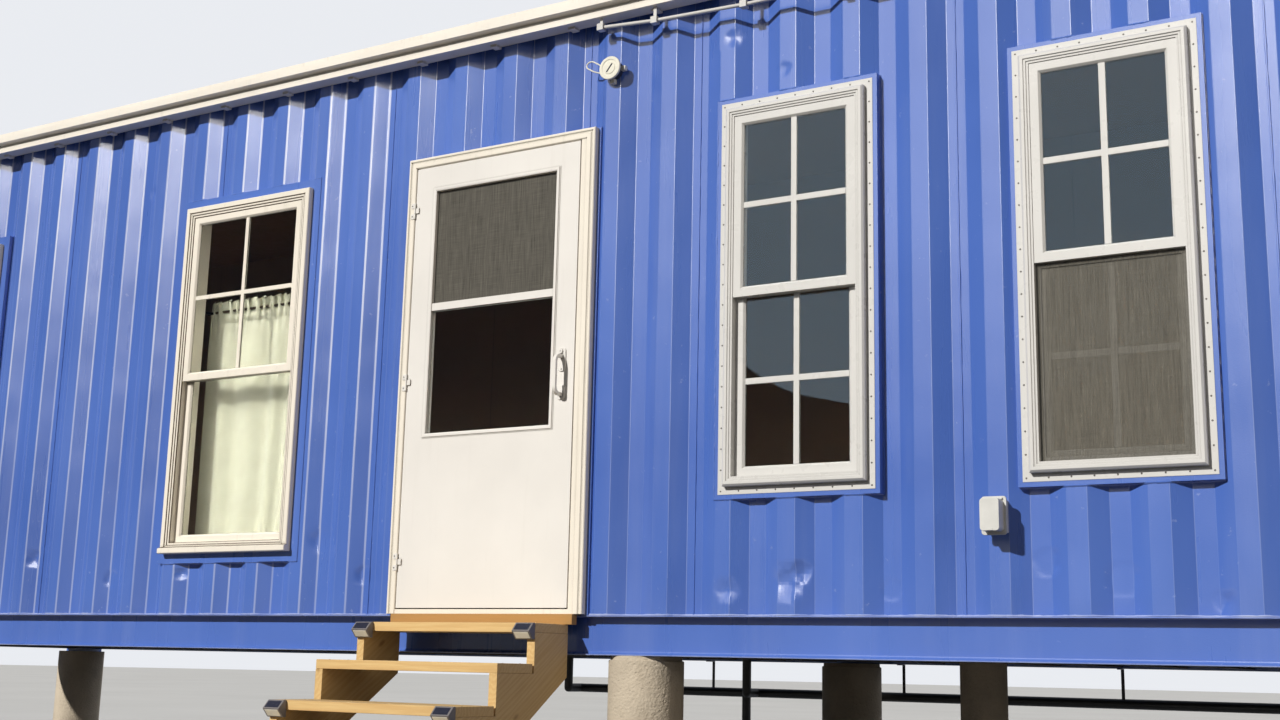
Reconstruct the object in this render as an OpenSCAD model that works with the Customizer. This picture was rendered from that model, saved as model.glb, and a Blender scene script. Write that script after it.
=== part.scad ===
// Shipping container cabin: a 12 m high-cube container on round concrete piers,
// with a storm door, hung sash windows in steel surrounds, an eaves gutter and timber steps.
// Everything is drawn in a wall frame: X along the front wall from the middle of the cabin,
// Y into the cabin from the outer flats of the front wall, Z up from the foot of the wall sheet.
// on_site() then sets it on the ground with its middle over the origin.

/* [Container] */
// Length over the corner castings
length = 12192; // [11600:1:13000]
// Width over the corner castings
width = 2438; // [2300:1:2600]
// Height over the corner castings
height = 2896; // [2750:1:3000]
// Length of a corner casting
casting_l = 178; // [170:1:190]
// Width of a corner casting
casting_w = 162; // [155:1:175]
// Height of a corner casting
casting_h = 118; // [110:1:130]
// Wall of a corner casting round its cavity
casting_wall = 16; // [12:1:20]
// Thickness of the aperture plate of a casting
casting_plate = 28; // [20:1:34]
// Length of the aperture in a casting
aperture_l = 124.5; // [118:0.5:128]
// Width of the aperture in a casting
aperture_w = 63.5; // [58:0.5:66]
// Distance from the end of the container to an aperture's middle
aperture_end = 103.5; // [98:0.5:108]
// Distance from the side of the container to an aperture's middle
aperture_side = 89.5; // [85:0.5:94]
// Length of the lashing slots in a casting's side faces
lashing_l = 79; // [70:1:84]
// Width of the lashing slots
lashing_w = 51; // [44:1:56]
// How far the castings stand out from the outer flats of the walls
casting_proud = 8; // [6:0.5:12]

/* [Rails and posts] */
// How far the rails and posts stand out from the outer flats of the walls
rail_proud = 5; // [2:0.5:6]
// Height of a bottom side rail
rail_h = 158; // [151:1:175]
// Gap between the underside of a bottom rail and the underside of a casting
rail_lift = 17; // [10:1:25]
// Width of a bottom rail's top flange
rail_flange = 52.5; // [48:0.5:60]
// Width of a bottom rail's lower flange, outside its web
rail_foot = 30; // [24:0.5:40]
// Plate thickness of the bottom rails and end sills
rail_t = 4.5; // [3:0.5:6]
// Radius of the bend between a bottom rail's web and its lower flange
rail_bend = 14; // [8:1:22]
// Depth of an end sill along the container
sill_depth = 90; // [80:1:110]
// Side of the square tube of a top rail
top_tube = 60; // [50:1:70]
// Wall of the top rail tube
top_tube_t = 4; // [3:0.5:6]
// Drop of the top rails below the top of the castings
top_drop = 10; // [6:1:16]
// Width of a corner post along the container
post_l = 168; // [150:1:170]
// Plate thickness of a corner post
post_t = 6; // [4:0.5:8]

/* [Corrugated walls] */
// Outer flat of one corrugation
flat_out = 72; // [60:1:84]
// Inner flat of one corrugation
flat_in = 70; // [60:1:84]
// Run of each sloping face
slope_run = 68; // [56:1:80]
// Depth of the corrugation
wave_depth = 36; // [28:1:38]
// Thickness of the wall sheet
sheet_t = 2; // [1.6:0.2:3]
// Flats of the end wall's corrugation
end_flat = 110; // [90:1:125]
// Run of the end wall's sloping faces
end_slope = 18; // [12:1:26]
// Depth of the end wall's corrugation
end_depth = 46; // [36:1:50]
// Flats of the roof's stamped ribs
roof_flat = 60; // [45:1:75]
// Run of the roof ribs' sloping faces
roof_slope = 44; // [30:1:55]
// Depth of the roof's stamped ribs
roof_depth = 20; // [12:1:26]
// Drop of the roof sheet below the top of the top rails
roof_drop = 2; // [1:0.5:6]

/* [Cargo doors] */
// Width of the frame bars of a cargo door
cargo_bar = 100; // [80:1:120]
// Thickness of a cargo door's frame
cargo_t = 50; // [46:1:56]
// Gap round the cargo doors
cargo_gap = 8; // [5:1:10]
// Depth and slope of the ribs of a cargo door's panel
cargo_rib = 30; // [20:1:34]
// Flats of a cargo door's panel
cargo_flat = 110; // [90:1:140]
// Diameter of a lock rod
rod_d = 34; // [27:1:38]
// Distances of the lock rods from the middle of the cargo doors
rod_places = [220, 820];
// Length of a lock rod's handle
rod_handle = 270; // [200:1:290]

/* [Floor and lining] */
// Distance between the floor cross members
member_pitch = 300; // [290:1:310]
// Height of a cross member
member_h = 122; // [112:1:128]
// Flange width of a cross member
member_w = 45; // [38:1:60]
// Plate thickness of a cross member
member_t = 4; // [3:0.5:6]
// Thickness of the plywood floor
floor_t = 28; // [22:1:29]
// Thickness of the insulated lining on the walls
lining_t = 60; // [40:1:90]
// Air gap between the wall sheet and the lining
lining_gap = 3; // [1:0.5:10]
// Gap between the ends of the lining and the corner posts
lining_end_gap = 8; // [4:1:20]
// Thickness of the ceiling lining
ceiling_t = 40; // [25:1:50]
// Air gap between the ceiling lining and the underside of the top rails
ceiling_gap = 51; // [40:1:160]

/* [Storm door] */
// Place of the door casing's left edge
door_x = -1229; // [-1260:1:-1200]
// Width over the door casing
casing_w = 1024; // [980:1:1040]
// Height of the casing's top edge above the foot of the wall
casing_top = 2090; // [1950:1:2200]
// Height of the casing's bottom edge above the foot of the wall
casing_bottom = 5; // [2:1:12]
// Face width of the casing
casing_face = 47; // [40:1:60]
// Width of the strip that the leaf's latch side closes against
latch_strip = 24; // [15:1:30]
// How far the casing stands out from the steel surround
casing_proud = 28; // [20:1:34]
// Depth of the groove and of the eased edges in the casing's face
casing_groove = 4; // [2:0.5:6]
// Width of the steel bars round the door
door_bar = 34; // [28:1:40]
// How far the steel bars show beside the casing
bar_show = 12; // [8:1:14]
// How far the steel bar shows above the casing
bar_show_top = 4; // [2:1:10]
// Gap round the door leaf
leaf_gap = 5; // [5:0.5:7]
// Thickness of the door leaf
leaf_t = 32; // [28:1:36]
// How far the leaf's face lies behind the casing's face
leaf_set = 3; // [2:0.5:5]
// Width of the leaf's stiles
stile_w = 118; // [95:1:135]
// Height of the leaf's top rail
head_rail_h = 120; // [90:1:150]
// Height of the leaf's kick panel
kick_h = 765; // [600:1:820]
// Height of the bar between screen and glass
mid_bar_h = 34; // [24:1:50]
// Height of the lower glass
lower_glass_h = 560; // [440:1:640]
// Width of the moulding round the leaf's glass and screen
insert_w = 20; // [14:1:28]
// How far that moulding stands out from the leaf
insert_proud = 6; // [3:0.5:8]
// Depth of the jambs behind the steel surround's face
jamb_depth = 105; // [90:1:110]
// Height of the casing's sill strip
sill_strip = 20; // [15:1:30]
// Diameter of a hinge knuckle
knuckle_d = 8; // [6:0.5:8]
// Height of a door hinge
hinge_h = 76; // [60:1:100]
// Width of each hinge plate
hinge_plate = 22; // [18:1:30]
// Distance of the upper and lower hinges from the ends of the leaf
hinge_inset = 200; // [120:1:300]
// Height of the handle above the foot of the wall
handle_z = 1010; // [900:1:1100]
// Height over the handle's two plates
handle_h = 222; // [180:1:240]
// Width of the handle's plates
handle_w = 38; // [30:1:44]
// Clear depth between the handle's grip and the leaf
grip_reach = 42; // [34:1:50]

/* [Windows on the left] */
// Places of the left windows' middles
left_windows = [-4576, -2264];
// Width over the frame of a left window
left_w = 835; // [760:1:880]
// Height over the frame of a left window
left_h = 1760; // [1600:1:1850]
// Height of a left window's frame above the foot of the wall
left_sill = 292; // [200:1:420]
// How far a left window's frame stands out from the steel surround
left_proud = 28; // [18:1:36]
// Face width of a left window's frame
left_face = 52; // [44:1:64]
// Margin of steel round a left window's frame
left_margin = 46; // [34:1:56]
// How far the steel reaches in behind a left window's frame
left_lap = 18; // [12:1:24]
// How far the nosing of a left window's sill stands out from its frame
nosing_proud = 14; // [8:1:24]
// Height of the nosing of a left window's sill
nosing_h = 30; // [20:1:36]

/* [Windows on the right] */
// Places of the right windows' middles
right_windows = [731, 1952, 4576];
// Width over the nailing fin of a right window
right_w = 664; // [600:1:740]
// Height over the nailing fin of a right window
right_h = 1620; // [1450:1:1700]
// Height of a right window's fin above the foot of the wall
right_sill = 470; // [380:1:600]
// Width of the nailing fin
fin_w = 30; // [22:1:36]
// Thickness of the nailing fin
fin_t = 2; // [1.5:0.5:4]
// How far a right window's frame stands out from the steel surround
right_proud = 32; // [20:1:38]
// Face width of a right window's frame
right_face = 38; // [30:1:46]
// Margin of steel round the fin
right_margin = 18; // [10:1:30]

/* [Window parts] */
// How far the surrounds stand out from the outer flats
surround_proud = 3; // [1:0.5:8]
// Clearance between a frame and its steel surround
frame_gap = 4; // [2:0.5:8]
// Width of a sash's stiles and rails
sash_w = 42; // [32:1:54]
// Thickness of a sash
sash_t = 28; // [22:1:32]
// How far the upper sash lies behind the face of its frame
sash_set = 12; // [6:1:20]
// Thickness of the glass
glass_t = 6; // [4:1:12]
// Thickness of an insect screen
screen_t = 3; // [2:0.5:4]
// Thickness of the window screen's frame
screen_frame_t = 10; // [6:1:12]
// Width of the window screen's frame bars
screen_bar = 18; // [12:1:26]
// Depth of the steps in a frame's face
frame_step = 4; // [2:0.5:5]
// Width of the sloping bead between a sash and its glass
bead_w = 9; // [5:1:12]

/* [Curtain] */
// Drop of the curtain's rod below the middle of the upper pane
rod_drop = 42; // [20:1:80]
// Diameter of the curtain's rod
rod_curtain_d = 14; // [10:1:20]
// Distance of the rod's middle from the lining
rod_out = 45; // [30:1:80]
// Height of the ruffle above the rod
ruffle_h = 64; // [20:1:90]
// Reach of the curtain's hem below the window's opening
hem_drop = 34; // [0:1:80]
// Number of the curtain's folds
fold_count = 8; // [4:1:14]
// Depth of a fold to each side of the rod
fold_depth = 16; // [8:1:22]

/* [Eaves] */
// Drop of the gutter's underside below the top of the wall sheet
gutter_drop = 83; // [60:1:95]
// Width of the gutter's bottom
gutter_bottom = 56; // [50:1:65]
// Width over the gutter's top
gutter_top = 86; // [78:1:100]
// Height of the gutter
gutter_h = 77; // [70:1:85]
// Thickness of the gutter's sheet
gutter_t = 2; // [1:0.5:3]
// Width of the gutter's turned-in lip
gutter_lip = 12; // [8:1:18]
// Distance from the castings to the gutter's ends
gutter_end = 12; // [5:1:60]
// Thickness of the fascia board
fascia_t = 20; // [15:1:28]
// Distance between gutter brackets
bracket_pitch = 425; // [350:1:600]
// Place of the bracket next to the middle of the cabin
bracket_x = 88; // [60:1:120]
// Width of a gutter bracket
bracket_w = 34; // [25:1:45]
// Thickness of a gutter bracket
bracket_t = 10; // [6:1:14]

/* [Ground works] */
// Diameter of a concrete pier
pier_d = 308; // [250:1:310]
// Distance from the casting face to a pier's middle
pier_inset = 158; // [155:1:220]
// Distance from the ends of the cabin to the corner piers' middles
pier_end = 160; // [155:1:170]
// Rim of the piers' tops round the pads that carry the rails
pad_rim = 8; // [4:1:14]
// Diameter of the thin pier under the middle of the floor
thin_pier_d = 200; // [150:1:220]
// Place of the thin pier along the cabin
thin_pier_x = 1060; // [1000:1:1100]

/* [Steps] */
// Width over the steps
steps_w = 914; // [850:1:1000]
// Place of the steps' right edge
steps_right = -274; // [-320:1:-240]
// Number of treads
tread_count = 5; // [3:1:8]
// Height from tread to tread
rise = 160; // [140:1:190]
// Distance from nosing to nosing
run = 246; // [238:1:290]
// Depth of a tread
tread_d = 236; // [220:1:237]
// Thickness of a tread and of a stringer
board_t = 38; // [30:1:45]
// Drop of the top tread below the foot of the wall
top_tread_drop = 38; // [36:1:60]
// Gap between the steps and the rail
steps_gap = 15; // [8:1:25]
// Length of a stringer's upright back edge below the top tread
stringer_back = 174; // [140:1:210]
// Width of a step light
light_w = 86; // [60:1:100]
// Height of a step light
light_h = 66; // [50:1:80]
// How far a step light stands out from its tread
light_proud = 45; // [30:1:60]

/* [Fittings] */
// Diameter of the round eaves box's cover
lamp_d = 105; // [90:1:130]
// Place of the round eaves box along the wall
lamp_x = -132; // [-160:1:-120]
// Drop of the round eaves box's middle below the gutter's underside
lamp_drop = 229; // [160:1:350]
// Depth of the round box behind its cover
lamp_depth = 38; // [30:1:50]
// Thickness of the round box's cover
lamp_cover = 10; // [6:1:14]
// Side of the two lugs on the round box
lamp_lug = 20; // [14:1:26]
// Height of the outlet's middle above the foot of the wall
outlet_z = 350; // [200:1:440]
// Width of the outlet's box
outlet_w = 70; // [60:1:72]
// Height of the outlet's box
outlet_h = 115; // [100:1:125]
// Depth of the outlet's box
outlet_depth = 50; // [40:1:60]
// Rim of the outlet's cover plate beyond its box
cover_rim = 11; // [8:1:20]
// Thickness of the outlet's cover plate
cover_t = 8; // [4:1:12]
// Depth of the outlet's bubble cover
bubble_depth = 52; // [40:1:65]
// Radius of the outlet cover's corners
cover_round = 12; // [6:1:18]
// Outer diameter of the eaves conduit
conduit_d = 16; // [12:1:22]
// Distance of the conduit's middle from the outer flats
conduit_out = 60; // [50:1:80]
// Width of a conduit clip
clip_w = 30; // [24:1:40]
// Outer diameter of the drain pipe
drain_d = 48; // [40:1:60]
// Drop of the drain pipe's middle below the foot of the wall
drain_drop = 326; // [280:1:380]
// Clearance between the drain pipe and the piers
drain_gap = 4; // [2:1:20]

/* [Hidden] */
$fn = 48;

BLUE = [0.16, 0.28, 0.62];
WHITE = [0.93, 0.92, 0.88];
TIMBER = [0.86, 0.7, 0.45];
CONCRETE = [0.8, 0.76, 0.68];
GREY = [0.45, 0.45, 0.47];
DARK = [0.12, 0.12, 0.13];
GLASS = [0.6, 0.7, 0.75, 0.4];
CLOTH = [0.8, 0.84, 0.68];

// Lets a cutter run past the face that it cuts
cut = 1;
half_l = length / 2;
half_inner = half_l - casting_l;
face_y = -casting_proud;
frame_y = -rail_proud;
back_y = width - casting_proud;
mid_y = (face_y + back_y) / 2;
post_in = face_y + casting_w;
post_out = half_inner + post_l;
base_z = -rail_h - rail_lift;
roof_z = base_z + height;
rail_top = roof_z - top_drop;
wall_top = rail_top - top_tube;
web_in = frame_y + rail_flange;
gutter_z = wall_top - gutter_drop;
lamp_z = gutter_z - lamp_drop;
// Pitches of the corrugated sheets, and how many fit in half of each
pitch = flat_out + flat_in + 2 * slope_run;
half_pitches = floor((half_inner - flat_in / 2) / pitch);
end_pitch = 2 * (end_flat + end_slope);
end_pitches = floor((mid_y - post_in) / end_pitch);
roof_pitch = 2 * (roof_flat + roof_slope);
roof_pitches = floor(half_inner / roof_pitch);
lining_y = wave_depth + sheet_t + lining_gap;
inner_y = lining_y + lining_t;
room_h = wall_top - ceiling_gap - ceiling_t;
lining_end = half_inner - lining_end_gap;
// Door
casing_right = door_x + casing_w;
door_left = door_x - bar_show;
door_right = casing_right + bar_show;
door_top = casing_top + bar_show_top;
surround_y = -surround_proud;
casing_y = surround_y - casing_proud;
leaf_y = casing_y + leaf_set;
leaf_left = door_x + casing_face + leaf_gap;
leaf_right = casing_right - casing_face - latch_strip - leaf_gap;
leaf_bottom = casing_bottom + sill_strip + leaf_gap;
leaf_top = casing_top - casing_face - leaf_gap;
view_bottom = leaf_bottom + kick_h;
view_top = leaf_top - head_rail_h;
bar_bottom = view_bottom + lower_glass_h;
// Hinge axis: in front of the leaf's face, just off its edge
pin_side = 2;
pin_x = leaf_left - pin_side;
pin_y = leaf_y - leaf_set - leaf_set;
// Steps
stair_y = frame_y - steps_gap;
steps_left = steps_right - steps_w;
ground_z = -top_tread_drop - tread_count * rise;
steps_front = stair_y - tread_d - (tread_count - 1) * run;
function tread_front(i) = stair_y - tread_d - i * run;
function tread_top(i) = -top_tread_drop - i * rise;
// Ground works
pier_y = face_y + pier_inset;
back_pier_y = back_y - pier_inset;
drain_y = back_pier_y + pier_d / 2 + drain_gap + drain_d / 2;
// The whole part stands on the ground with its middle over the origin
front_reach = steps_front - light_proud;
back_reach = drain_y + drain_d / 2;
shift = [0, -(front_reach + back_reach) / 2, -ground_z];

module on_site() {
    translate(shift) children();
}

// Box from one corner to the other
module box(a, b) {
    translate(a) cube(b - a);
}

// Repeats the front half of the container at the back
module both_sides() {
    children();
    translate([0, 2 * mid_y, 0]) mirror([0, 1, 0]) children();
}

// Repeats one end of the container at the other
module both_ends() {
    children();
    mirror([1, 0, 0]) children();
}

// Rectangular ring in the wall plane, from depth y0 to y1; b is [left, right, bottom, top]
module ring(b, y0, y1, side) {
    difference() {
        box([b[0], y0, b[2]], [b[1], y1, b[3]]);
        box([b[0] + side, y0 - cut, b[2] + side], [b[1] - side, y1 + cut, b[3] - side]);
    }
}

function inset(b, m) = [b[0] + m, b[1] - m, b[2] + m, b[3] - m];

// Prism of a polygon in the wall plane, from depth y0 to y1
module upright(points, y0, y1) {
    translate([0, y1, 0]) rotate([90, 0, 0]) linear_extrude(y1 - y0) polygon(points);
}

// Mitred ring in the wall plane; each point of its section is [distance in from the edge, depth]
module moulded_ring(b, section) {
    y0 = min([for (p = section) p[1]]) - cut;
    y1 = max([for (p = section) p[1]]) + cut;
    m = max([for (p = section) p[0]]) + cut;
    o = inset(b, -cut);
    i = inset(b, m);
    for (s = [0, 1]) {
        translate([s * (b[0] + b[1]), 0, 0]) mirror([s, 0, 0]) intersection() {
            translate([b[0], 0, o[2]]) linear_extrude(o[3] - o[2]) polygon(section);
            upright([[o[0], o[2]], [i[0], i[2]], [i[0], i[3]], [o[0], o[3]]], y0, y1);
        }
        translate([0, 0, s * (b[2] + b[3])]) mirror([0, 0, s]) intersection() {
            translate([o[0], 0, b[2]]) rotate([90, 0, 90]) linear_extrude(o[1] - o[0])
                polygon([for (p = section) [p[1], p[0]]]);
            upright([[o[0], o[2]], [o[1], o[2]], [i[1], i[2]], [i[0], i[2]]], y0, y1);
        }
    }
}

// Rectangle with round corners, from one corner to the other
module rounded(a, b, r) {
    translate([a[0] + r, a[1]]) square([b[0] - a[0] - 2 * r, b[1] - a[1]]);
    translate([a[0], a[1] + r]) square([b[0] - a[0], b[1] - a[1] - 2 * r]);
    for (x = [a[0] + r, b[0] - r]) for (y = [a[1] + r, b[1] - r]) translate([x, y]) circle(r);
}

// Plate with round corners, which stands out from depth y1 to y0
module round_plate(w, h, r, y0, y1) {
    translate([0, y1, 0]) rotate([90, 0, 0]) linear_extrude(y1 - y0)
        rounded([-w / 2, -h / 2], [w / 2, h / 2], r);
}

// Depth of a corrugated sheet's outer surface at x, with an inner flat on every pitch
function wave(x, p, flat, slope, depth) =
    let (u = abs(x - p * round(x / p)) - flat / 2)
    u <= 0 ? depth : u >= slope ? 0 : depth * (1 - u / slope);

// Places between x0 and x1 where the sheet bends, out to so many pitches from its middle
function bends(x0, x1, p, flat, slope, count) =
    [for (n = [-count : count])
        for (d = [-flat / 2 - slope, -flat / 2, flat / 2, flat / 2 + slope])
            if (n * p + d > x0 && n * p + d < x1 && abs(n * p + d) < count * p) n * p + d];

// Section of a corrugated sheet from x0 to x1, flat beyond its last pitch
function sheet_section(x0, x1, p, flat, slope, depth, count) =
    let (xs = concat([x0], bends(x0, x1, p, flat, slope, count), [x1]))
    let (ys = [for (x = xs) wave(max(-count * p, min(count * p, x)), p, flat, slope, depth)])
    concat([for (i = [0 : len(xs) - 1]) [xs[i], ys[i]]],
        [for (i = [len(xs) - 1 : -1 : 0]) [xs[i], ys[i] + sheet_t]]);

// Corrugated side wall between two places, from height z0 up to the top rail
module side_sheet(x0, x1, z0) {
    translate([0, 0, z0]) linear_extrude(wall_top - z0)
        polygon(sheet_section(x0, x1, pitch, flat_in, slope_run, wave_depth, half_pitches));
}

// Outer boxes of the window frames, and of the steel surrounds that carry them
function frame_box(x, w, h, sill) = [x - w / 2, x + w / 2, sill, sill + h];
left_boxes = [for (x = left_windows) frame_box(x, left_w, left_h, left_sill)];
fin_boxes = [for (x = right_windows) frame_box(x, right_w, right_h, right_sill)];
right_boxes = [for (b = fin_boxes) inset(b, fin_w)];
surround_boxes = concat([for (b = left_boxes) inset(b, -left_margin)],
    [for (b = fin_boxes) inset(b, -right_margin)]);
// Width of the steel bars of each surround
bar_widths = concat([for (b = left_boxes) left_margin + left_lap],
    [for (b = fin_boxes) right_margin + fin_w - frame_gap]);

// Cuts the windows' places out of the wall sheet
module wall_cuts() {
    for (b = surround_boxes) box([b[0], -cut, b[2]], [b[1], lining_y, b[3]]);
}

// Cuts the windows' places out of the lining
module lining_cuts() {
    for (i = [0 : len(surround_boxes) - 1]) {
        b = inset(surround_boxes[i], bar_widths[i]);
        box([b[0], lining_y - cut, b[2]], [b[1], inner_y + cut, b[3]]);
    }
}

// Slot with round ends, long in X
module slot(l, w, h) {
    box([-(l - w) / 2, -w / 2, 0], [(l - w) / 2, w / 2, h]);
    for (s = [-1, 1]) translate([s * (l - w) / 2, 0, 0]) cylinder(d = w, h = h);
}

// One casting with its outer corner at the origin, reaching along +X, +Y and +Z
module casting() {
    through = casting_wall + 2 * cut;
    difference() {
        cube([casting_l, casting_w, casting_h]);
        box([casting_wall, casting_wall, casting_plate],
            [casting_l - casting_wall, casting_w - casting_wall, casting_h - casting_wall]);
        translate([aperture_end, aperture_side, -cut])
            slot(aperture_l, aperture_w, casting_plate + 2 * cut);
        translate([casting_l / 2, -cut, casting_h / 2])
            rotate([-90, 0, 0]) slot(lashing_l, lashing_w, through);
        translate([-cut, casting_w / 2, casting_h / 2])
            rotate([0, 90, 0]) rotate([0, 0, 90]) slot(lashing_l, lashing_w, through);
    }
}

module corner_castings() {
    on_site() color(BLUE) both_sides() both_ends() translate([-half_l, face_y, 0]) {
        translate([0, 0, base_z]) casting();
        translate([0, 0, roof_z]) mirror([0, 0, 1]) casting();
    }
}

module corner_posts() {
    z0 = base_z + casting_h;
    z1 = roof_z - casting_h;
    on_site() color(BLUE) both_sides() both_ends() difference() {
        box([-post_out, frame_y, z0], [-half_inner, post_in, z1]);
        box([-post_out + post_t, frame_y + post_t, z0 - cut],
            [-half_inner - post_t, post_in - post_t, z1 + cut]);
    }
}

// Section of a bottom rail in Y and Z: a top flange, a web behind and a rounded lower flange
function rail_section() =
    let (foot_y = web_in - rail_t - rail_foot, low = rail_t - rail_h)
    let (bend_y = web_in - rail_t - rail_bend, bend_z = low + rail_bend)
    concat([[frame_y, 0], [web_in, 0], [web_in, -rail_h], [foot_y, -rail_h], [foot_y, low]],
        [for (a = [0 : 15 : 90]) [bend_y + rail_bend * sin(a), bend_z - rail_bend * cos(a)]],
        [[web_in - rail_t, -rail_t], [frame_y, -rail_t]]);

// The side rails, and a sill across each end between the castings
module bottom_rails() {
    on_site() color(BLUE) {
        both_sides() translate([-half_inner, 0, 0])
            rotate([90, 0, 90]) linear_extrude(2 * half_inner) polygon(rail_section());
        both_ends() difference() {
            box([-post_out, post_in, -rail_h], [-post_out + sill_depth, 2 * mid_y - post_in, 0]);
            box([-post_out + rail_t, post_in - cut, rail_t - rail_h],
                [-post_out + sill_depth + cut, 2 * mid_y - post_in + cut, -rail_t]);
        }
    }
}

module square_tube(l) {
    difference() {
        cube([l, top_tube, top_tube]);
        translate([-cut, top_tube_t, top_tube_t])
            cube([l + 2 * cut, top_tube - 2 * top_tube_t, top_tube - 2 * top_tube_t]);
    }
}

// The side rails of the roof, and a header across each end
module top_rails() {
    on_site() color(BLUE) {
        both_sides() translate([-half_inner, frame_y, wall_top]) square_tube(2 * half_inner);
        both_ends() translate([top_tube - post_out, post_in, wall_top])
            rotate([0, 0, 90]) square_tube(2 * (mid_y - post_in));
    }
}

// Channels across the floor, an even number of them, so that none lies at the middle
module cross_members() {
    pairs = floor((half_inner - member_w / 2) / member_pitch + 1 / 2);
    on_site() color(BLUE) for (i = [0 : 2 * pairs - 1])
        translate([(i - pairs + 1 / 2) * member_pitch, 0, -floor_t - member_h]) difference() {
            box([-member_w / 2, web_in, 0], [member_w / 2, 2 * mid_y - web_in, member_h]);
            box([member_t - member_w / 2, web_in - cut, member_t],
                [member_w / 2 + cut, 2 * mid_y - web_in + cut, member_h - member_t]);
        }
}

module floor_deck() {
    on_site() color(TIMBER)
        box([-half_inner, web_in, -floor_t], [half_inner, 2 * mid_y - web_in, 0]);
}

module front_wall_left() {
    on_site() color(BLUE) difference() {
        side_sheet(-half_inner, door_left, 0);
        wall_cuts();
    }
}

module front_wall_over_door() {
    on_site() color(BLUE) side_sheet(door_left, door_right, door_top);
}

module front_wall_right() {
    on_site() color(BLUE) difference() {
        side_sheet(door_right, half_inner, 0);
        wall_cuts();
    }
}

module back_wall() {
    on_site() color(BLUE) translate([0, 2 * mid_y, 0]) mirror([0, 1, 0])
        side_sheet(-half_inner, half_inner, 0);
}

module end_wall() {
    half = mid_y - post_in;
    on_site() color(BLUE) translate([rail_proud - post_out, mid_y, 0]) rotate([0, 0, -90])
        linear_extrude(wall_top)
            polygon(sheet_section(-half, half, end_pitch, end_flat, end_slope, end_depth, end_pitches));
}

// Outer face of the cargo doors, which keeps their lock rods inside the castings' faces
cargo_face = half_l - rod_d - cargo_gap;
cargo_half = mid_y - post_in - cargo_gap;
cargo_top = wall_top - cargo_gap;
cargo_hinges = 4;

// A framed leaf with a panel of level ribs, shut, and hung on the post beside it
module cargo_leaf() {
    panel_h = cargo_top - cargo_gap - 2 * cargo_bar;
    rib_pitch = 2 * (cargo_flat + cargo_rib);
    translate([cargo_face - cargo_t, 0, 0]) difference() {
        box([0, cargo_gap / 2, cargo_gap], [cargo_t, cargo_half, cargo_top]);
        box([-cut, cargo_gap / 2 + cargo_bar, cargo_gap + cargo_bar],
            [cargo_t + cut, cargo_half - cargo_bar, cargo_top - cargo_bar]);
    }
    translate([cargo_face - cargo_gap, cargo_half - cargo_bar, (cargo_gap + cargo_top) / 2])
        rotate([0, -90, 0]) rotate([90, 0, 0])
            linear_extrude(cargo_half - 2 * cargo_bar - cargo_gap / 2)
                polygon(sheet_section(-panel_h / 2, panel_h / 2, rib_pitch, cargo_flat, cargo_rib,
                    cargo_rib, floor(panel_h / 2 / rib_pitch)));
    for (i = [1 : cargo_hinges])
        translate([cargo_face, cargo_half, i * cargo_top / (cargo_hinges + 1)]) {
            box([-cargo_t / 2, 0, -cargo_bar / 2], [0, cargo_gap, cargo_bar / 2]);
            box([0, cargo_gap - cargo_bar, -cargo_bar / 4], [cargo_gap / 2, 0, cargo_bar / 4]);
            translate([cargo_gap / 4, 0, -cargo_bar / 2]) cylinder(d = 3 * cargo_gap / 2, h = cargo_bar);
        }
}

module cargo_doors() {
    on_site() color(BLUE) for (s = [0, 1]) translate([0, mid_y, 0]) mirror([0, s, 0]) cargo_leaf();
}

// A lock rod: cams and guides on the frame, guides on the panel's ribs, and a handle with its catch
module lock_rod() {
    guide_h = 40;
    handle_t = 8;
    cam_h = 22;
    mid = (cargo_gap + cargo_top) / 2;
    rib = cargo_flat + cargo_rib;
    hub_z = mid - rib + guide_h / 2;
    translate([rod_d / 2, 0, cargo_bar / 2]) cylinder(d = rod_d, h = cargo_top - cargo_bar);
    for (z = [cargo_bar / 2 + guide_h, cargo_top - cargo_bar / 2 - guide_h])
        box([0, -rod_d, z - guide_h / 2], [rod_d / 2, rod_d, z + guide_h / 2]);
    for (z = [mid - 5 * rib, mid + rib, mid + 5 * rib])
        box([-cargo_gap, -rod_d, z - guide_h / 2], [rod_d / 2, rod_d, z + guide_h / 2]);
    for (z = [cargo_bar / 2, cargo_top - cargo_bar / 2 - cam_h]) translate([0, 0, z])
        linear_extrude(cam_h) difference() {
            rounded([0, -rod_d], [rod_d, 3 * rod_d / 2], rod_d / 4);
            translate([-cut, rod_d - rod_d / 8]) square([rod_d / 2 + cut, rod_d / 4]);
        }
    translate([rod_d / 2, 0, hub_z - guide_h]) cylinder(d = rod_d + handle_t, h = guide_h);
    translate([rod_d / 2 - handle_t / 2, 0, hub_z]) rotate([90, 0, 90]) linear_extrude(handle_t)
        rounded([0, -3 * guide_h / 4], [rod_handle, -guide_h / 4], guide_h / 5);
    box([-cargo_gap, rod_handle - guide_h, hub_z - guide_h],
        [rod_d - handle_t, rod_handle - guide_h / 2, hub_z]);
}

// Two rods on each leaf, whose handles point at each other
module lock_rods() {
    on_site() color(GREY) for (s = [0, 1]) for (i = [0, 1])
        translate([cargo_face, mid_y, 0]) mirror([0, s, 0])
            translate([0, rod_places[i], 0]) mirror([0, i, 0]) lock_rod();
}

// The roof sheet between the top rails, with a plain end reaching to each header
module roof_panel() {
    y0 = frame_y + top_tube;
    on_site() color(BLUE) translate([0, 0, rail_top - roof_drop]) {
        translate([0, y0, 0]) rotate([-90, 0, 0]) linear_extrude(2 * (mid_y - y0))
            polygon(sheet_section(-half_inner, half_inner, roof_pitch, roof_flat, roof_slope,
                roof_depth, roof_pitches));
        both_ends() box([top_tube - post_out, post_in, -roof_depth - sheet_t],
            [-half_inner, 2 * mid_y - post_in, -roof_depth]);
    }
}

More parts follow.
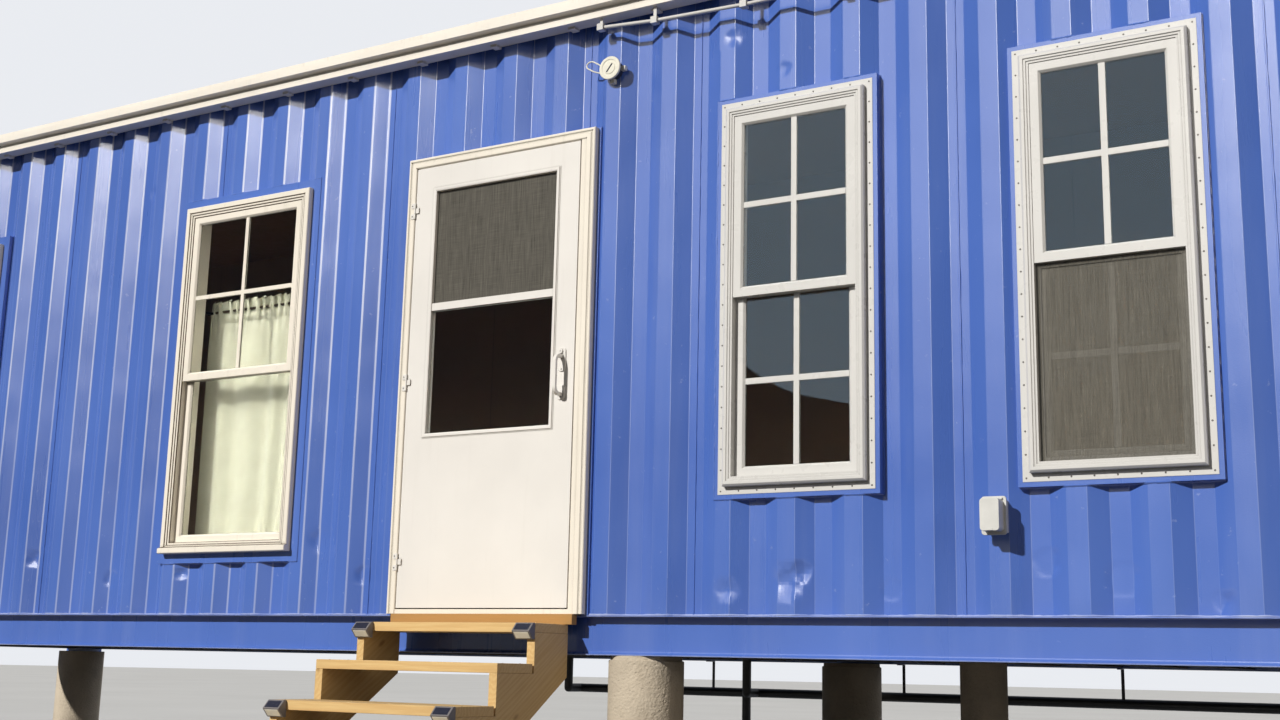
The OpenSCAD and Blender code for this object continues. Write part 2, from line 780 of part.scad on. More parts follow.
// Lining of the front wall between two places, from height z0 up to the ceiling
module lining_slab(x0, x1, z0) {
    difference() {
        box([x0, lining_y, z0], [x1, inner_y, room_h]);
        lining_cuts();
    }
}

module lining_front_left() {
    on_site() color(WHITE) lining_slab(-lining_end, door_left + door_bar, 0);
}

module lining_over_door() {
    on_site() color(WHITE)
        lining_slab(door_left + door_bar, door_right - door_bar, door_top - door_bar);
}

module lining_front_right() {
    on_site() color(WHITE) lining_slab(door_right - door_bar, lining_end, 0);
}

module lining_back() {
    on_site() color(WHITE)
        box([-lining_end, 2 * mid_y - inner_y, 0], [lining_end, 2 * mid_y - lining_y, room_h]);
}

module lining_ends() {
    on_site() color(WHITE) both_ends()
        box([-lining_end, inner_y, 0], [lining_t - lining_end, 2 * mid_y - inner_y, room_h]);
}

module ceiling() {
    on_site() color(WHITE)
        box([-lining_end, lining_y, room_h], [lining_end, 2 * mid_y - lining_y, room_h + ceiling_t]);
}

eaves_half = half_inner - gutter_end;

module fascia_board() {
    on_site() color(WHITE)
        box([-eaves_half, frame_y - fascia_t, gutter_z], [eaves_half, frame_y, rail_top]);
}

// Front of the gutter's section in Y and Z: a flat foot, then a soft step out to the lip
function gutter_front() =
    let (reach = gutter_top - gutter_bottom, z0 = gutter_h / 2, step_h = gutter_h / 9)
    concat([[-gutter_bottom, 0]],
        [for (a = [0 : 15 : 180]) [-gutter_bottom - reach * (1 - cos(a)) / 2, z0 + step_h * a / 180]],
        [[-gutter_top, gutter_h]]);

function gutter_section() =
    let (front = gutter_front(), t = gutter_t, lip_y = gutter_lip - gutter_top)
    concat([[0, 0]], front, [[lip_y, gutter_h], [lip_y, gutter_h - t], [t - gutter_top, gutter_h - t]],
        [for (i = [len(front) - 2 : -1 : 1]) front[i] + [t, t]],
        [[t - gutter_bottom, t], [-t, t], [-t, gutter_h], [0, gutter_h]]);

bracket_reach = ceil(length / bracket_pitch);
bracket_places = [for (i = [-bracket_reach : bracket_reach])
    if (abs(bracket_x + i * bracket_pitch) < eaves_half - bracket_w) bracket_x + i * bracket_pitch];

// The gutter with its end caps, and the brackets under its back edge
module gutter() {
    on_site() color(WHITE) {
        translate([-eaves_half, frame_y - fascia_t, gutter_z]) rotate([90, 0, 90]) {
            linear_extrude(2 * eaves_half) polygon(gutter_section());
            for (x = [0, 2 * eaves_half - gutter_t]) translate([0, 0, x]) linear_extrude(gutter_t)
                polygon(concat([[0, 0]], gutter_front(), [[0, gutter_h]]));
        }
        for (x = bracket_places)
            box([x - bracket_w / 2, frame_y - 2 * fascia_t, gutter_z - bracket_t],
                [x + bracket_w / 2, frame_y, gutter_z]);
    }
}

// Steel bars round the doorway, down to the rail
module door_surround() {
    on_site() color(BLUE) difference() {
        box([door_left, surround_y, 0], [door_right, lining_y, door_top]);
        box([door_left + door_bar, surround_y - cut, -cut],
            [door_right - door_bar, lining_y + cut, door_top - door_bar]);
    }
}

// Section of the casing: eased edges, and a groove a third of the way in
function casing_section() =
    let (f = casing_face, g = casing_groove, y = casing_y)
    [[0, surround_y], [0, y + g], [g, y], [f / 3 - g, y], [f / 3, y + g], [f / 3 + g, y + g],
        [f / 3 + 2 * g, y], [f - g, y], [f, y + g], [f, surround_y]];

// Casing on the steel bars, with a latch strip and a sill strip, and jambs between the bars
module door_casing() {
    jamb_in = door_bar + frame_gap;
    under = casing_bottom - 2 * casing_face;
    on_site() color(WHITE) {
        difference() {
            moulded_ring([door_x, casing_right, under, casing_top], casing_section());
            box([door_x - cut, casing_y - cut, under - cut],
                [casing_right + cut, surround_y + cut, casing_bottom]);
        }
        difference() {
            union() {
                box([door_x + casing_face - cut, casing_y + casing_groove, casing_bottom],
                    [casing_right - casing_face + cut, surround_y, casing_top - casing_face]);
                box([door_left + jamb_in, surround_y, casing_bottom],
                    [door_right - jamb_in, surround_y + jamb_depth, door_top - jamb_in]);
            }
            box([leaf_left - leaf_gap, casing_y - cut, leaf_bottom - leaf_gap],
                [leaf_right + leaf_gap, surround_y + jamb_depth + cut, leaf_top + leaf_gap]);
        }
    }
}

module door_sill_board() {
    on_site() color(TIMBER) box([door_x + board_t, frame_y - board_t, -top_tread_drop],
        [casing_right - board_t, frame_y, casing_bottom]);
}

hinge_places = [leaf_bottom + hinge_inset, (leaf_bottom + leaf_top) / 2, leaf_top - hinge_inset];
knuckle_gap = 1;
knuckle_h = hinge_h / 3 - knuckle_gap;

// Knuckle of a hinge with the plate that carries it, which reaches back to depth y1
module hinge_part(z, x0, x1, y1) {
    translate([pin_x, pin_y, z]) cylinder(d = knuckle_d, h = knuckle_h);
    box([x0, pin_y, z], [x1, y1, z + knuckle_h]);
}

// The hinges' outer knuckles on the casing; the leaf carries the middle ones
module door_hinges() {
    on_site() color(WHITE) for (z = hinge_places) for (s = [-1, 1])
        hinge_part(z + s * hinge_h / 3 - knuckle_h / 2, pin_x - hinge_plate, pin_x, casing_y);
}

// Section of the moulding on the leaf, rising from inside its face
function insert_section() =
    let (w = insert_w, p = insert_proud)
    [[0, 1], [0, -p / 3], [w / 6, -p / 3], [w / 4, -p], [3 * w / 4, -p], [w, -p / 3], [w, 1]];

module door_leaf() {
    x0 = leaf_left + stile_w;
    x1 = leaf_right - stile_w;
    view = inset([x0, x1, view_bottom, view_top], -insert_w);
    on_site() color(WHITE) {
        for (s = [0, 1]) translate([0, leaf_y + s * leaf_t, 0]) mirror([0, s, 0])
            moulded_ring(view, insert_section());
        difference() {
            box([leaf_left, leaf_y, leaf_bottom], [leaf_right, leaf_y + leaf_t, leaf_top]);
            box([x0, leaf_y - cut, view_bottom], [x1, leaf_y + leaf_t + cut, bar_bottom]);
            box([x0, leaf_y - cut, bar_bottom + mid_bar_h], [x1, leaf_y + leaf_t + cut, view_top]);
        }
        for (z = hinge_places)
            hinge_part(z - knuckle_h / 2, leaf_left, pin_x + hinge_plate, leaf_y);
    }
}

// Flat sheet in the middle of the leaf's thickness
module door_pane(z0, z1, t) {
    y = leaf_y + (leaf_t - t) / 2;
    box([leaf_left + stile_w, y, z0], [leaf_right - stile_w, y + t, z1]);
}

module door_glass() {
    on_site() color(GLASS) door_pane(view_bottom, bar_bottom, glass_t);
}

module door_screen() {
    on_site() color(DARK) door_pane(bar_bottom + mid_bar_h, view_top, screen_t);
}

// Pull handle: a bowed grip between two plates, with the lock's cylinder on the upper one
module door_handle() {
    plate_t = 6;
    grip_t = 14;
    grip_w = 16;
    upper_h = 9 * handle_h / 20;
    lower_h = 11 * handle_h / 40;
    key_d = 22;
    low = -handle_h / 2 + grip_t;
    high = handle_h / 2 - 2 * key_d + grip_t;
    reach = plate_t + grip_reach;
    on_site() color(WHITE) translate([leaf_right - stile_w / 2, leaf_y, handle_z]) {
        translate([0, 0, (handle_h - upper_h) / 2])
            round_plate(handle_w, upper_h, handle_w / 3, -plate_t, 0);
        translate([0, 0, (lower_h - handle_h) / 2])
            round_plate(handle_w, lower_h, handle_w / 3, -plate_t, 0);
        translate([-handle_w / 8, -plate_t, handle_h / 2 - key_d / 2 - grip_t / 4])
            rotate([90, 0, 0]) cylinder(d = key_d, h = plate_t);
        translate([-grip_w / 2, 0, 0]) rotate([90, 0, 90]) linear_extrude(grip_w) difference() {
            rounded([-reach - grip_t, low], [reach, high], grip_reach / 2 + grip_t);
            rounded([-reach, low + grip_t], [reach, high - grip_t], grip_reach / 2);
            translate([-plate_t / 2, low - cut]) square([2 * reach, high - low + 2 * cut]);
        }
    }
}

module window_surrounds() {
    on_site() color(BLUE) for (i = [0 : len(surround_boxes) - 1])
        ring(surround_boxes[i], surround_y, lining_y, bar_widths[i]);
}

// Section of a frame's front: an eased edge, a flat face, and steps down to the sashes
function frame_section(proud, face, ease) =
    let (y = surround_y - proud, d = frame_step)
    [[0, surround_y], [0, y + ease], [ease, y], [face / 2, y], [face / 2 + d / 2, y + d],
        [3 * face / 4, y + d], [3 * face / 4 + d / 2, y + 2 * d], [face, y + 2 * d], [face, surround_y]];

// Moulded front on the steel, and a body that passes inside it to the lining's inner face
module window_frame(b, proud, face, ease, hidden) {
    moulded_ring(b, frame_section(proud, face, ease));
    ring(inset(b, hidden), surround_y, inner_y, face - hidden);
}

// Nosing of the sill along the foot of a left window's frame, with a sloping top
module sill_nosing(b) {
    y = surround_y - left_proud;
    translate([b[0], 0, b[2]]) rotate([90, 0, 90]) linear_extrude(b[1] - b[0])
        polygon([[surround_y, 0], [y - nosing_proud + frame_step, 0], [y - nosing_proud, frame_step],
            [y - nosing_proud, nosing_h - frame_step], [y, nosing_h], [surround_y, nosing_h]]);
}

module left_window_frames() {
    on_site() color(WHITE) for (b = left_boxes) {
        window_frame(b, left_proud, left_face, frame_step, left_lap + frame_gap);
        sill_nosing(b);
    }
}

module right_window_frames() {
    on_site() color(WHITE) for (i = [0 : len(right_boxes) - 1]) {
        ring(fin_boxes[i], surround_y - fin_t, surround_y, fin_w + cut);
        window_frame(right_boxes[i], right_proud, right_face, 2 * frame_step, 0);
    }
}

function middle(b) = (b[2] + b[3]) / 2;
// Boxes of the upper and lower sash inside a frame; they overlap at the meeting rails
function upper(b) = [b[0], b[1], middle(b) - sash_w / 2, b[3]];
function lower(b) = [b[0], b[1], b[2], middle(b) + sash_w / 2];

// Section of a sash at depth y: square outside, with sloping beads down to the glass
function sash_section(y) =
    let (d = (sash_t - glass_t) / 2 - frame_step / 2)
    [[0, y], [sash_w - bead_w, y], [sash_w, y + d], [sash_w, y + sash_t - d],
        [sash_w - bead_w, y + sash_t], [0, y + sash_t]];

// Two sashes in the opening b of a frame: the upper one in front, the lower one behind
module hung_sashes(b, y0) {
    moulded_ring(upper(b), sash_section(y0));
    moulded_ring(lower(b), sash_section(y0 + sash_t));
}

module pane(b, y0, t) {
    box([b[0], y0, b[2]], [b[1], y0 + t, b[3]]);
}

module hung_glass(b, y0) {
    y1 = y0 + (sash_t - glass_t) / 2;
    pane(inset(upper(b), sash_w), y1, glass_t);
    pane(inset(lower(b), sash_w), y1 + sash_t, glass_t);
}

left_openings = [for (b = left_boxes) inset(b, left_face)];
right_openings = [for (b = right_boxes) inset(b, right_face)];
left_sash_y = surround_y - left_proud + sash_set;
right_sash_y = surround_y - right_proud + sash_set;

module left_window_sashes() {
    on_site() color(WHITE) for (b = left_openings) hung_sashes(b, left_sash_y);
}

module left_window_glass() {
    on_site() color(GLASS) for (b = left_openings) hung_glass(b, left_sash_y);
}

module right_window_sashes() {
    on_site() color(WHITE) for (b = right_openings) hung_sashes(b, right_sash_y);
}

module right_window_glass() {
    on_site() color(GLASS) for (b = right_openings) hung_glass(b, right_sash_y);
}

// Framed insect screen below the upper sash of the middle right window
module window_screen() {
    b = right_openings[1];
    panel = [b[0], b[1], b[2], middle(b) - sash_w / 2];
    y1 = right_sash_y + sash_t;
    on_site() color(DARK) {
        ring(panel, y1 - screen_frame_t, y1, screen_bar);
        pane(inset(panel, screen_bar), y1 - screen_frame_t / 2, screen_t);
    }
}

// Pleated curtain with a ruffle over its rod, behind the lower part of the middle left window
module curtain() {
    b = left_openings[1];
    steps = 8;
    cloth = 4;
    bracket = 12;
    reach = left_face / 2;
    y = inner_y + rod_out;
    n = fold_count * steps;
    rod_z = middle(inset(upper(b), sash_w)) - rod_drop;
    low = b[2] - hem_drop;
    function fold(i, d) = [b[0] + (b[1] - b[0]) * i / n, y + fold_depth * sin(360 * i / steps) + d];
    on_site() color(CLOTH) {
        translate([0, 0, low]) linear_extrude(rod_z + ruffle_h - low)
            polygon(concat([for (i = [0 : n]) fold(i, 0)], [for (i = [n : -1 : 0]) fold(i, cloth)]));
        translate([b[0] - reach, y, rod_z]) rotate([0, 90, 0])
            cylinder(d = rod_curtain_d, h = b[1] - b[0] + 2 * reach);
        for (x = [b[0] - reach, b[1] + reach - bracket])
            box([x, inner_y, rod_z - bracket], [x + bracket, y, rod_z + bracket]);
    }
}

// Profile of the round box, as radius and height over the wall: drum, cover and a raised ring
function lamp_profile() =
    let (r = lamp_d / 2, e = lamp_cover / 4, h = lamp_depth + lamp_cover)
    [[0, 0], [r - lamp_cover, 0], [r - lamp_cover, lamp_depth], [r, lamp_depth], [r, h - e], [r - e, h],
        [3 * r / 4, h], [3 * r / 4 - e, h - e], [r / 2 + e, h - e], [r / 2, h], [0, h]];

module eaves_box() {
    on_site() color(WHITE) translate([lamp_x, 0, lamp_z]) rotate([90, 0, 0]) {
        rotate_extrude() polygon(lamp_profile());
        for (a = [0, -90]) rotate([0, 0, a])
            box([0, -lamp_lug / 2, 0], [lamp_d / 2 + lamp_lug / 2, lamp_lug / 2, lamp_lug]);
    }
}

// The outlet stands on an outer flat, so many pitches right of the first right window
outlet_pitches = 3;

// Box with a cover plate and a bubble cover over its sockets, open at the foot for a cord
module outlet_box() {
    x = (floor(right_windows[0] / pitch) + outlet_pitches) * pitch + pitch / 2;
    y1 = -outlet_depth - cover_t;
    y2 = y1 - bubble_depth;
    wall = cover_t / 2;
    on_site() color(WHITE) translate([x, 0, outlet_z]) {
        box([-outlet_w / 2, -outlet_depth, -outlet_h / 2], [outlet_w / 2, 0, outlet_h / 2]);
        round_plate(outlet_w + 2 * cover_rim, outlet_h + 2 * cover_rim, cover_round, y1, -outlet_depth);
        difference() {
            round_plate(outlet_w, outlet_h, cover_round, y2, y1);
            box([-outlet_w / 4, y2 + wall, -outlet_h / 2 - cut],
                [outlet_w / 4, y1 - wall, -outlet_h / 2 + cover_round]);
        }
    }
}

// Bends of the eaves conduit along the wall: its place, and its drop below the gutter
conduit_route = [[-170, 42], [100, 64], [525, 80], [950, 82], [1375, 82]];

// Straight lengths between square fittings; those under the gutter hang from it by straps
module eaves_conduit() {
    last = len(conduit_route) - 1;
    points = [for (p = conduit_route) [p[0], gutter_z - p[1]]];
    strap_t = clip_w / 8;
    on_site() color(WHITE) {
        for (i = [0 : last - 1]) {
            d = points[i + 1] - points[i];
            translate([points[i][0], -conduit_out, points[i][1]])
                rotate([0, atan2(d[0], d[1]), 0]) cylinder(d = conduit_d, h = norm(d));
        }
        for (p = points) translate([p[0], -conduit_out, p[1]])
            box([-clip_w / 2, -clip_w / 2, -clip_w / 2], [clip_w / 2, clip_w / 2, clip_w / 2]);
        for (i = [0 : last]) translate([points[i][0], -conduit_out, points[i][1]])
            box([-clip_w / 4, -strap_t / 2, 0], [clip_w / 4, strap_t / 2, conduit_route[i][1]]);
    }
}

// Drain under the back rail, on straps: its ends, its branches up and its fall to the ground
drain_left = -1800;
drain_right = 5600;
strap_first = -920;
strap_pitch = 1130;
drain_branches = [drain_left, -640];
drain_fall_x = -705;

module drain_pipe() {
    strap_w = 16;
    strap_t = 4;
    branch_y = 2 * mid_y - web_in - drain_d;
    z = -drain_drop;
    on_site() color(DARK) {
        translate([drain_left, drain_y, z]) rotate([0, 90, 0])
            cylinder(d = drain_d, h = drain_right - drain_left);
        translate([drain_fall_x, drain_y, ground_z]) cylinder(d = drain_d, h = z - ground_z);
        for (x = drain_branches) {
            translate([x, branch_y, z]) rotate([-90, 0, 0]) cylinder(d = drain_d, h = drain_y - branch_y);
            translate([x, branch_y, z]) cylinder(d = drain_d, h = -floor_t - z);
            for (y = [branch_y, drain_y]) translate([x, y, z]) sphere(d = drain_d);
        }
        for (x = [strap_first : strap_pitch : drain_right]) {
            box([x, drain_y - strap_t / 2, z], [x + strap_w, drain_y + strap_t / 2, -rail_h]);
            box([x, 2 * mid_y - web_in, -rail_h - strap_t],
                [x + strap_w, drain_y + strap_t / 2, -rail_h]);
        }
    }
}

module piers() {
    h = base_z - ground_z;
    ends = half_l - pier_end;
    on_site() color(CONCRETE) {
        for (x = [-ends, 0, ends]) for (y = [pier_y, back_pier_y])
            translate([x, y, ground_z]) cylinder(d = pier_d, h = h);
        for (y = [pier_y, back_pier_y])
            translate([0, y, base_z]) cylinder(d = pier_d - 2 * pad_rim, h = rail_lift);
        translate([thin_pier_x, mid_y, ground_z])
            cylinder(d = thin_pier_d, h = -floor_t - member_h - ground_z);
    }
}

// A sawtooth board with an upright back edge and a sloping lower edge
module stringer() {
    back_z = -top_tread_drop - board_t - stringer_back;
    toe = stair_y - (back_z - ground_z) * run / rise;
    teeth = [for (i = [0 : tread_count - 1])
        let (back = i == 0 ? stair_y : tread_front(i - 1))
            for (y = [back, tread_front(i)]) [y, tread_top(i) - board_t]];
    rotate([90, 0, 90]) linear_extrude(board_t)
        polygon(concat(teeth, [[steps_front, ground_z], [toe, ground_z], [stair_y, back_z]]));
}

module step_stringers() {
    on_site() color(TIMBER) for (x = [steps_left, steps_right - board_t])
        translate([x, 0, 0]) stringer();
}

module step_treads() {
    on_site() color(TIMBER) for (i = [0 : tread_count - 1])
        box([steps_left, tread_front(i), tread_top(i) - board_t],
            [steps_right, tread_front(i) + tread_d, tread_top(i)]);
}

// Small sloped lights on the nosing, at both ends of every other tread
module step_lights() {
    on_site() color(GREY) for (i = [0 : 2 : tread_count - 1]) for (x = [steps_left, steps_right - light_w])
        translate([x, tread_front(i), tread_top(i)]) rotate([90, 0, 90]) linear_extrude(light_w)
            polygon([[0, 0], [-light_proud / 3, 0], [-light_proud, -light_h / 2],
                [-light_proud / 3, -light_h], [0, -light_h]]);
}

corner_castings();
corner_posts();
bottom_rails();
top_rails();
cross_members();
floor_deck();
front_wall_left();
front_wall_over_door();
front_wall_right();
back_wall();
end_wall();
cargo_doors();
lock_rods();
roof_panel();
lining_front_left();
lining_over_door();
lining_front_right();
lining_back();
lining_ends();
ceiling();
fascia_board();
gutter();
door_surround();
door_casing();
door_sill_board();
door_hinges();
door_leaf();
door_glass();
door_screen();
door_handle();
window_surrounds();
left_window_frames();
left_window_sashes();
left_window_glass();
right_window_frames();
right_window_sashes();
right_window_glass();
window_screen();
curtain();
eaves_box();
outlet_box();
eaves_conduit();
drain_pipe();
piers();
step_stringers();
step_treads();
step_lights();
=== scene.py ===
"""Looks of the shipping container cabin: its finishes, and the pieces that carry its fine shapes.

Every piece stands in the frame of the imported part, in metres: X along the front wall from the
middle of the cabin, Y into the cabin, Z up from the ground.
"""

import functools
import math

import bmesh
import bpy
from bpy.props import FloatProperty, FloatVectorProperty, IntProperty, PointerProperty
from bpy.types import Operator, Panel, PropertyGroup
from mathutils import Matrix, Vector, noise


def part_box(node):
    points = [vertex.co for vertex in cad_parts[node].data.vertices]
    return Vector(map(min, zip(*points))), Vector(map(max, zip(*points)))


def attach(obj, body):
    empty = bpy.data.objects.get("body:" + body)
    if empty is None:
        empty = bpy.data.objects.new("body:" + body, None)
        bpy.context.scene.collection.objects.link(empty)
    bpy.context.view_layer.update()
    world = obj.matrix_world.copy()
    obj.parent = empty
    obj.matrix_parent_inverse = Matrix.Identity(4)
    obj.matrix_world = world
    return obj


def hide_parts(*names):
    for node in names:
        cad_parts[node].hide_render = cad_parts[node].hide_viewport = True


bl_info = {
    "name": "Shipping container cabin",
    "version": (1, 0, 0),
    "blender": (4, 5, 0),
    "location": "3D View > Sidebar > Cabin",
    "description": "Builds the finishes and fine shapes of a shipping container cabin",
    "category": "Object",
}

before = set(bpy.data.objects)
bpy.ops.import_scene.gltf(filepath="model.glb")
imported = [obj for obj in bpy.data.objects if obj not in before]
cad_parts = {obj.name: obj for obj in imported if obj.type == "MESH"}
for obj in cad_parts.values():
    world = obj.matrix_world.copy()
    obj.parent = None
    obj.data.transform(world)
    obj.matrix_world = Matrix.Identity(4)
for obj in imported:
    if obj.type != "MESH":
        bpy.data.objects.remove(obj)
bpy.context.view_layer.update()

# The plane of the front wall's outer flats, the foot of its sheets and its top
FLAT_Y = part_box("front_wall_left")[0].y
FOOT_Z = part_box("front_wall_left")[0].z
WALL_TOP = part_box("front_wall_left")[1].z
# Corners nearer than this are one corner
MERGE = 1e-5
# Faces that meet at less than this angle are shaded as one
SHARP = math.radians(38)
# The attribute that holds how pale a rounded edge is: worn paint on the rails, painted highlight on
# the sheets' bends, and both on the foot weld
WEAR_AND_HIGHLIGHT = "wear_and_highlight"
# The corrugation of the side walls: pitch, inner flat, run of a slope and depth
WAVE_PITCH, WAVE_FLAT, WAVE_SLOPE, WAVE_DEPTH = 0.278, 0.07, 0.068, 0.036
# Faces round a turned shape
ROUND_STEPS = 32
# Rise and going of the steps
STEP_RISE, STEP_GOING = 0.16, 0.246
# An inner corner that turns by more than this is a groove
GROOVE_TURN = math.radians(60)
# How uneven the width of a bead is, and how fast it changes along each metre
BEAD_UNEVEN, BEAD_RATE = 0.5, 90


def colour(name, description, value):
    return FloatVectorProperty(
        name=name, description=description, subtype="COLOR", size=3, min=0, max=1, default=value
    )


def size(name, description, value):
    return FloatProperty(name=name, description=description, unit="LENGTH", default=value)


def share(name, description, value):
    return FloatProperty(
        name=name, description=description, subtype="FACTOR", min=0, max=1, default=value
    )


def turn(name, description, value):
    return FloatProperty(
        name=name, description=description, unit="ROTATION", default=math.radians(value)
    )


def strength(name, description, value):
    return FloatProperty(name=name, description=description, min=0, default=value)


class CabinColours(PropertyGroup):
    """Colours of the cabin's finishes."""

    wall_blue: colour("Wall blue", "Gloss paint on the steel", (0.082, 0.166, 0.52))
    deep_blue: colour("Deep blue", "The same paint where it went on thick", (0.056, 0.124, 0.43))
    # Chalk stands for real bloom and scuffs, and for the painted highlight on the sheets' bends
    chalk_and_highlight: colour("Chalk", "Bloom, scuffs, worn rail edges and painted highlight on bends", (0.8, 0.83, 0.9))
    underside: colour("Underside", "Old paint and dirt under the floor", (0.022, 0.017, 0.015))
    vinyl: colour("Vinyl", "Window frames on the right", (0.6, 0.595, 0.58))
    cream: colour("Cream", "Painted wood of casing and left windows", (0.8, 0.75, 0.66))
    gutter_white: colour("Gutter white", "Baked paint of the gutter", (0.82, 0.775, 0.7))
    door_white: colour("Door white", "Storm door leaf", (0.74, 0.72, 0.69))
    timber: colour("Timber", "Light wood of the steps", (0.6, 0.43, 0.2))
    timber_dark: colour("Timber grain", "Late wood and knots", (0.42, 0.22, 0.07))
    # The sill's darker tone is painted shade, for the casing's shadow on the board
    shaded_sill: colour("Sill wood", "Board under the door, darkened with painted shade", (0.36, 0.2, 0.07))
    concrete: colour("Concrete", "Piers", (0.6, 0.52, 0.41))
    cloth: colour("Curtain cloth", "Cotton curtain", (0.39, 0.385, 0.3))
    screen: colour("Door screen", "Fibre of the door's screen", (0.088, 0.082, 0.068))
    window_screen: colour("Window screen", "Fibre of the window's screen", (0.15, 0.14, 0.115))
    cap_grey: colour("Cap grey", "Step lights", (0.17, 0.16, 0.165))


class SheetSizes(PropertyGroup):
    """Sizes of the steel sheets and bars."""

    bend: size("Bend", "Half width of a bend in the corrugated sheets", 0.007)
    dent_depth: size("Dent depth", "Depth of the deepest dent", 0.015)
    # Strength of the painted highlight on the sheets' bends, and of the pale foot weld
    wear_and_highlight: share("Wear", "Painted highlight on the sheets' bends and on the foot weld", 0.9)
    rail_wear: share("Rail wear", "Wear of the paint on the rails' edges", 0.5)
    seam: size("Seam", "Width of the welds between wall sheets", 0.008)
    weld: size("Weld", "Width of the welds round the steel surrounds", 0.009)
    weld_step: size("Weld step", "Distance between the welds' bulges", 0.012)
    bar_edge: size("Bar edge", "Rounding of rails, posts and castings", 0.003)


class WindowSizes(PropertyGroup):
    """Sizes of the window parts."""

    bar: size("Glazing bar", "Width of the bars on the left windows' glass", 0.021)
    wide_bar: size("Wide bar", "Width of the bars on the right windows' glass", 0.0245)
    bar_depth: size("Bar depth", "Thickness of the bars on the glass", 0.004)
    fin: size("Fin", "Width of the nailing fin", 0.03)
    screw_pitch: size("Screw pitch", "Distance between the fin's screws", 0.082)
    screw: size("Screw", "Diameter of a screw head", 0.008)
    # The dark beads are partly weather strip, partly painted shadow in the gaps
    seal_and_gap_shadow: size("Seal", "Radius of the left windows' dark beads: weather strips and painted gap shadows", 0.0028)


class CurtainSizes(PropertyGroup):
    """Sizes of the curtain."""

    width: size("Hung width", "Width of the curtain on its rod", 0.735)
    header: size("Header", "Height of the ruffle above the rod", 0.064)
    rod: size("Rod", "Diameter of the rod", 0.014)
    rod_out: size("Rod distance", "Distance of the rod's middle from the lining", 0.045)
    folds: IntProperty(name="Folds", description="Number of folds", min=3, default=8)


class DoorSizes(PropertyGroup):
    """Sizes of the small parts of the storm door."""

    screw: size("Screw", "Diameter of a screw head", 0.0085)
    caulk: size("Caulk", "Radius of the dirty caulk in the casing's grooves", 0.0024)
    screw_head: size("Screw head", "Height of a screw head", 0.0016)


class StudioValues(PropertyGroup):
    """Light and camera."""

    sun: strength("Sun", "Strength of the key light", 4.5)
    sun_turn: turn("Sun turn", "Turn of the key light left of the wall's normal", 20)
    sun_height: turn("Sun height", "Height of the key light over the horizon", 30.5)
    glow_height: turn("Glow height", "Height of both glows over the horizon", 24.5)
    near_glow: strength("Near glow", "Glow seen in the slopes", 1.15)
    near_turn: turn("Near turn", "Turn of the near glow left of the wall's normal", -2.5)
    wide_glow: strength("Wide glow", "Glow seen in the flats", 0.5)
    wide_turn: turn("Wide turn", "Turn of the wide glow left of the wall's normal", 20)
    side: strength("Side", "Weak light from the right", 0.75)
    side_turn: turn("Side turn", "Turn of the side light left of the wall's normal", -78)
    side_height: turn("Side height", "Height of the side light over the horizon", 8)
    rear: strength("Rear", "Strength of the light from behind", 1.8)
    rear_turn: turn("Rear turn", "Turn of the rear light from the wall's normal", 155)
    lens: FloatProperty(name="Lens", description="Focal length, in millimetres", default=43.38)


GROUPS = {
    "cabin_colours": CabinColours,
    "cabin_sheets": SheetSizes,
    "cabin_windows": WindowSizes,
    "cabin_curtain": CurtainSizes,
    "cabin_door": DoorSizes,
    "cabin_studio": StudioValues,
}


# Shapes


def merged(node):
    """A bmesh of a CAD node, its triangles joined at their corners."""
    bm = bmesh.new()
    bm.from_mesh(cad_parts[node].data)
    bmesh.ops.remove_doubles(bm, verts=bm.verts, dist=MERGE)
    return bm


def node_form(node):
    """A bmesh of a CAD node with its flat faces whole again."""
    bm = merged(node)
    bmesh.ops.dissolve_limit(bm, angle_limit=math.radians(1), verts=bm.verts, edges=bm.edges)
    return bm


def parts_of(node):
    """Lowest and highest corner of each separate solid of a CAD node, from left to right."""
    bm = merged(node)
    left = set(bm.verts)
    boxes = []
    while left:
        reached = [left.pop()]
        corners = []
        while reached:
            vert = reached.pop()
            corners.append(vert.co)
            near = {edge.other_vert(vert) for edge in vert.link_edges} & left
            left -= near
            reached.extend(near)
        boxes.append([
            Vector([pick(c[i] for c in corners) for i in range(3)]) for pick in (min, max)
        ])
    bm.free()
    return sorted(boxes, key=lambda box: (round(box[0].x, 2), box[0].z))


def bevel(bm, edges, width, steps):
    """Rounds edges and gives the faces of their rounding."""
    return bmesh.ops.bevel(
        bm, geom=edges, offset=width, offset_type="OFFSET", affect="EDGES", segments=steps,
        profile=0.5, material=-1, clamp_overlap=True,
    )["faces"]


def ease_edges(bm, width, steps=2, least=40, most=179, sides=()):
    """Rounds the edges whose faces meet at an angle between least and most degrees.

    Edges that lie along the side of an opening, at one of the places in sides, stay as they are.
    """
    low, high = math.radians(least), math.radians(most)
    return bevel(bm, [
        e for e in bm.edges
        if len(e.link_faces) == 2 and low < e.calc_face_angle(0) < high
        and all(abs(e.verts[0].co.x - side) > width for side in sides)
    ], width, steps)


def slab(bm, extent, middle, turn=None):
    """Adds a box, turned about its middle if turn is given, and gives its corners."""
    verts = bmesh.ops.create_cube(bm, size=1)["verts"]
    bmesh.ops.scale(bm, vec=extent, verts=verts)
    if turn:
        bmesh.ops.rotate(bm, cent=(0, 0, 0), matrix=turn, verts=verts)
    bmesh.ops.translate(bm, vec=middle, verts=verts)
    return verts


def block(bm, low, high, edge):
    """Adds a box from corner to corner with rounded edges."""
    low, high = Vector(low), Vector(high)
    verts = slab(bm, high - low, (low + high) / 2)
    bevel(bm, list({e for v in verts for e in v.link_edges}), edge, 2)


def turned(bm, verts, middle, axis):
    """Turns new verts from the Z axis to axis and moves them from the origin to middle."""
    turn = axis.to_track_quat("Z", "Y").to_matrix()
    bmesh.ops.rotate(bm, cent=(0, 0, 0), matrix=turn, verts=verts)
    bmesh.ops.translate(bm, vec=middle, verts=verts)


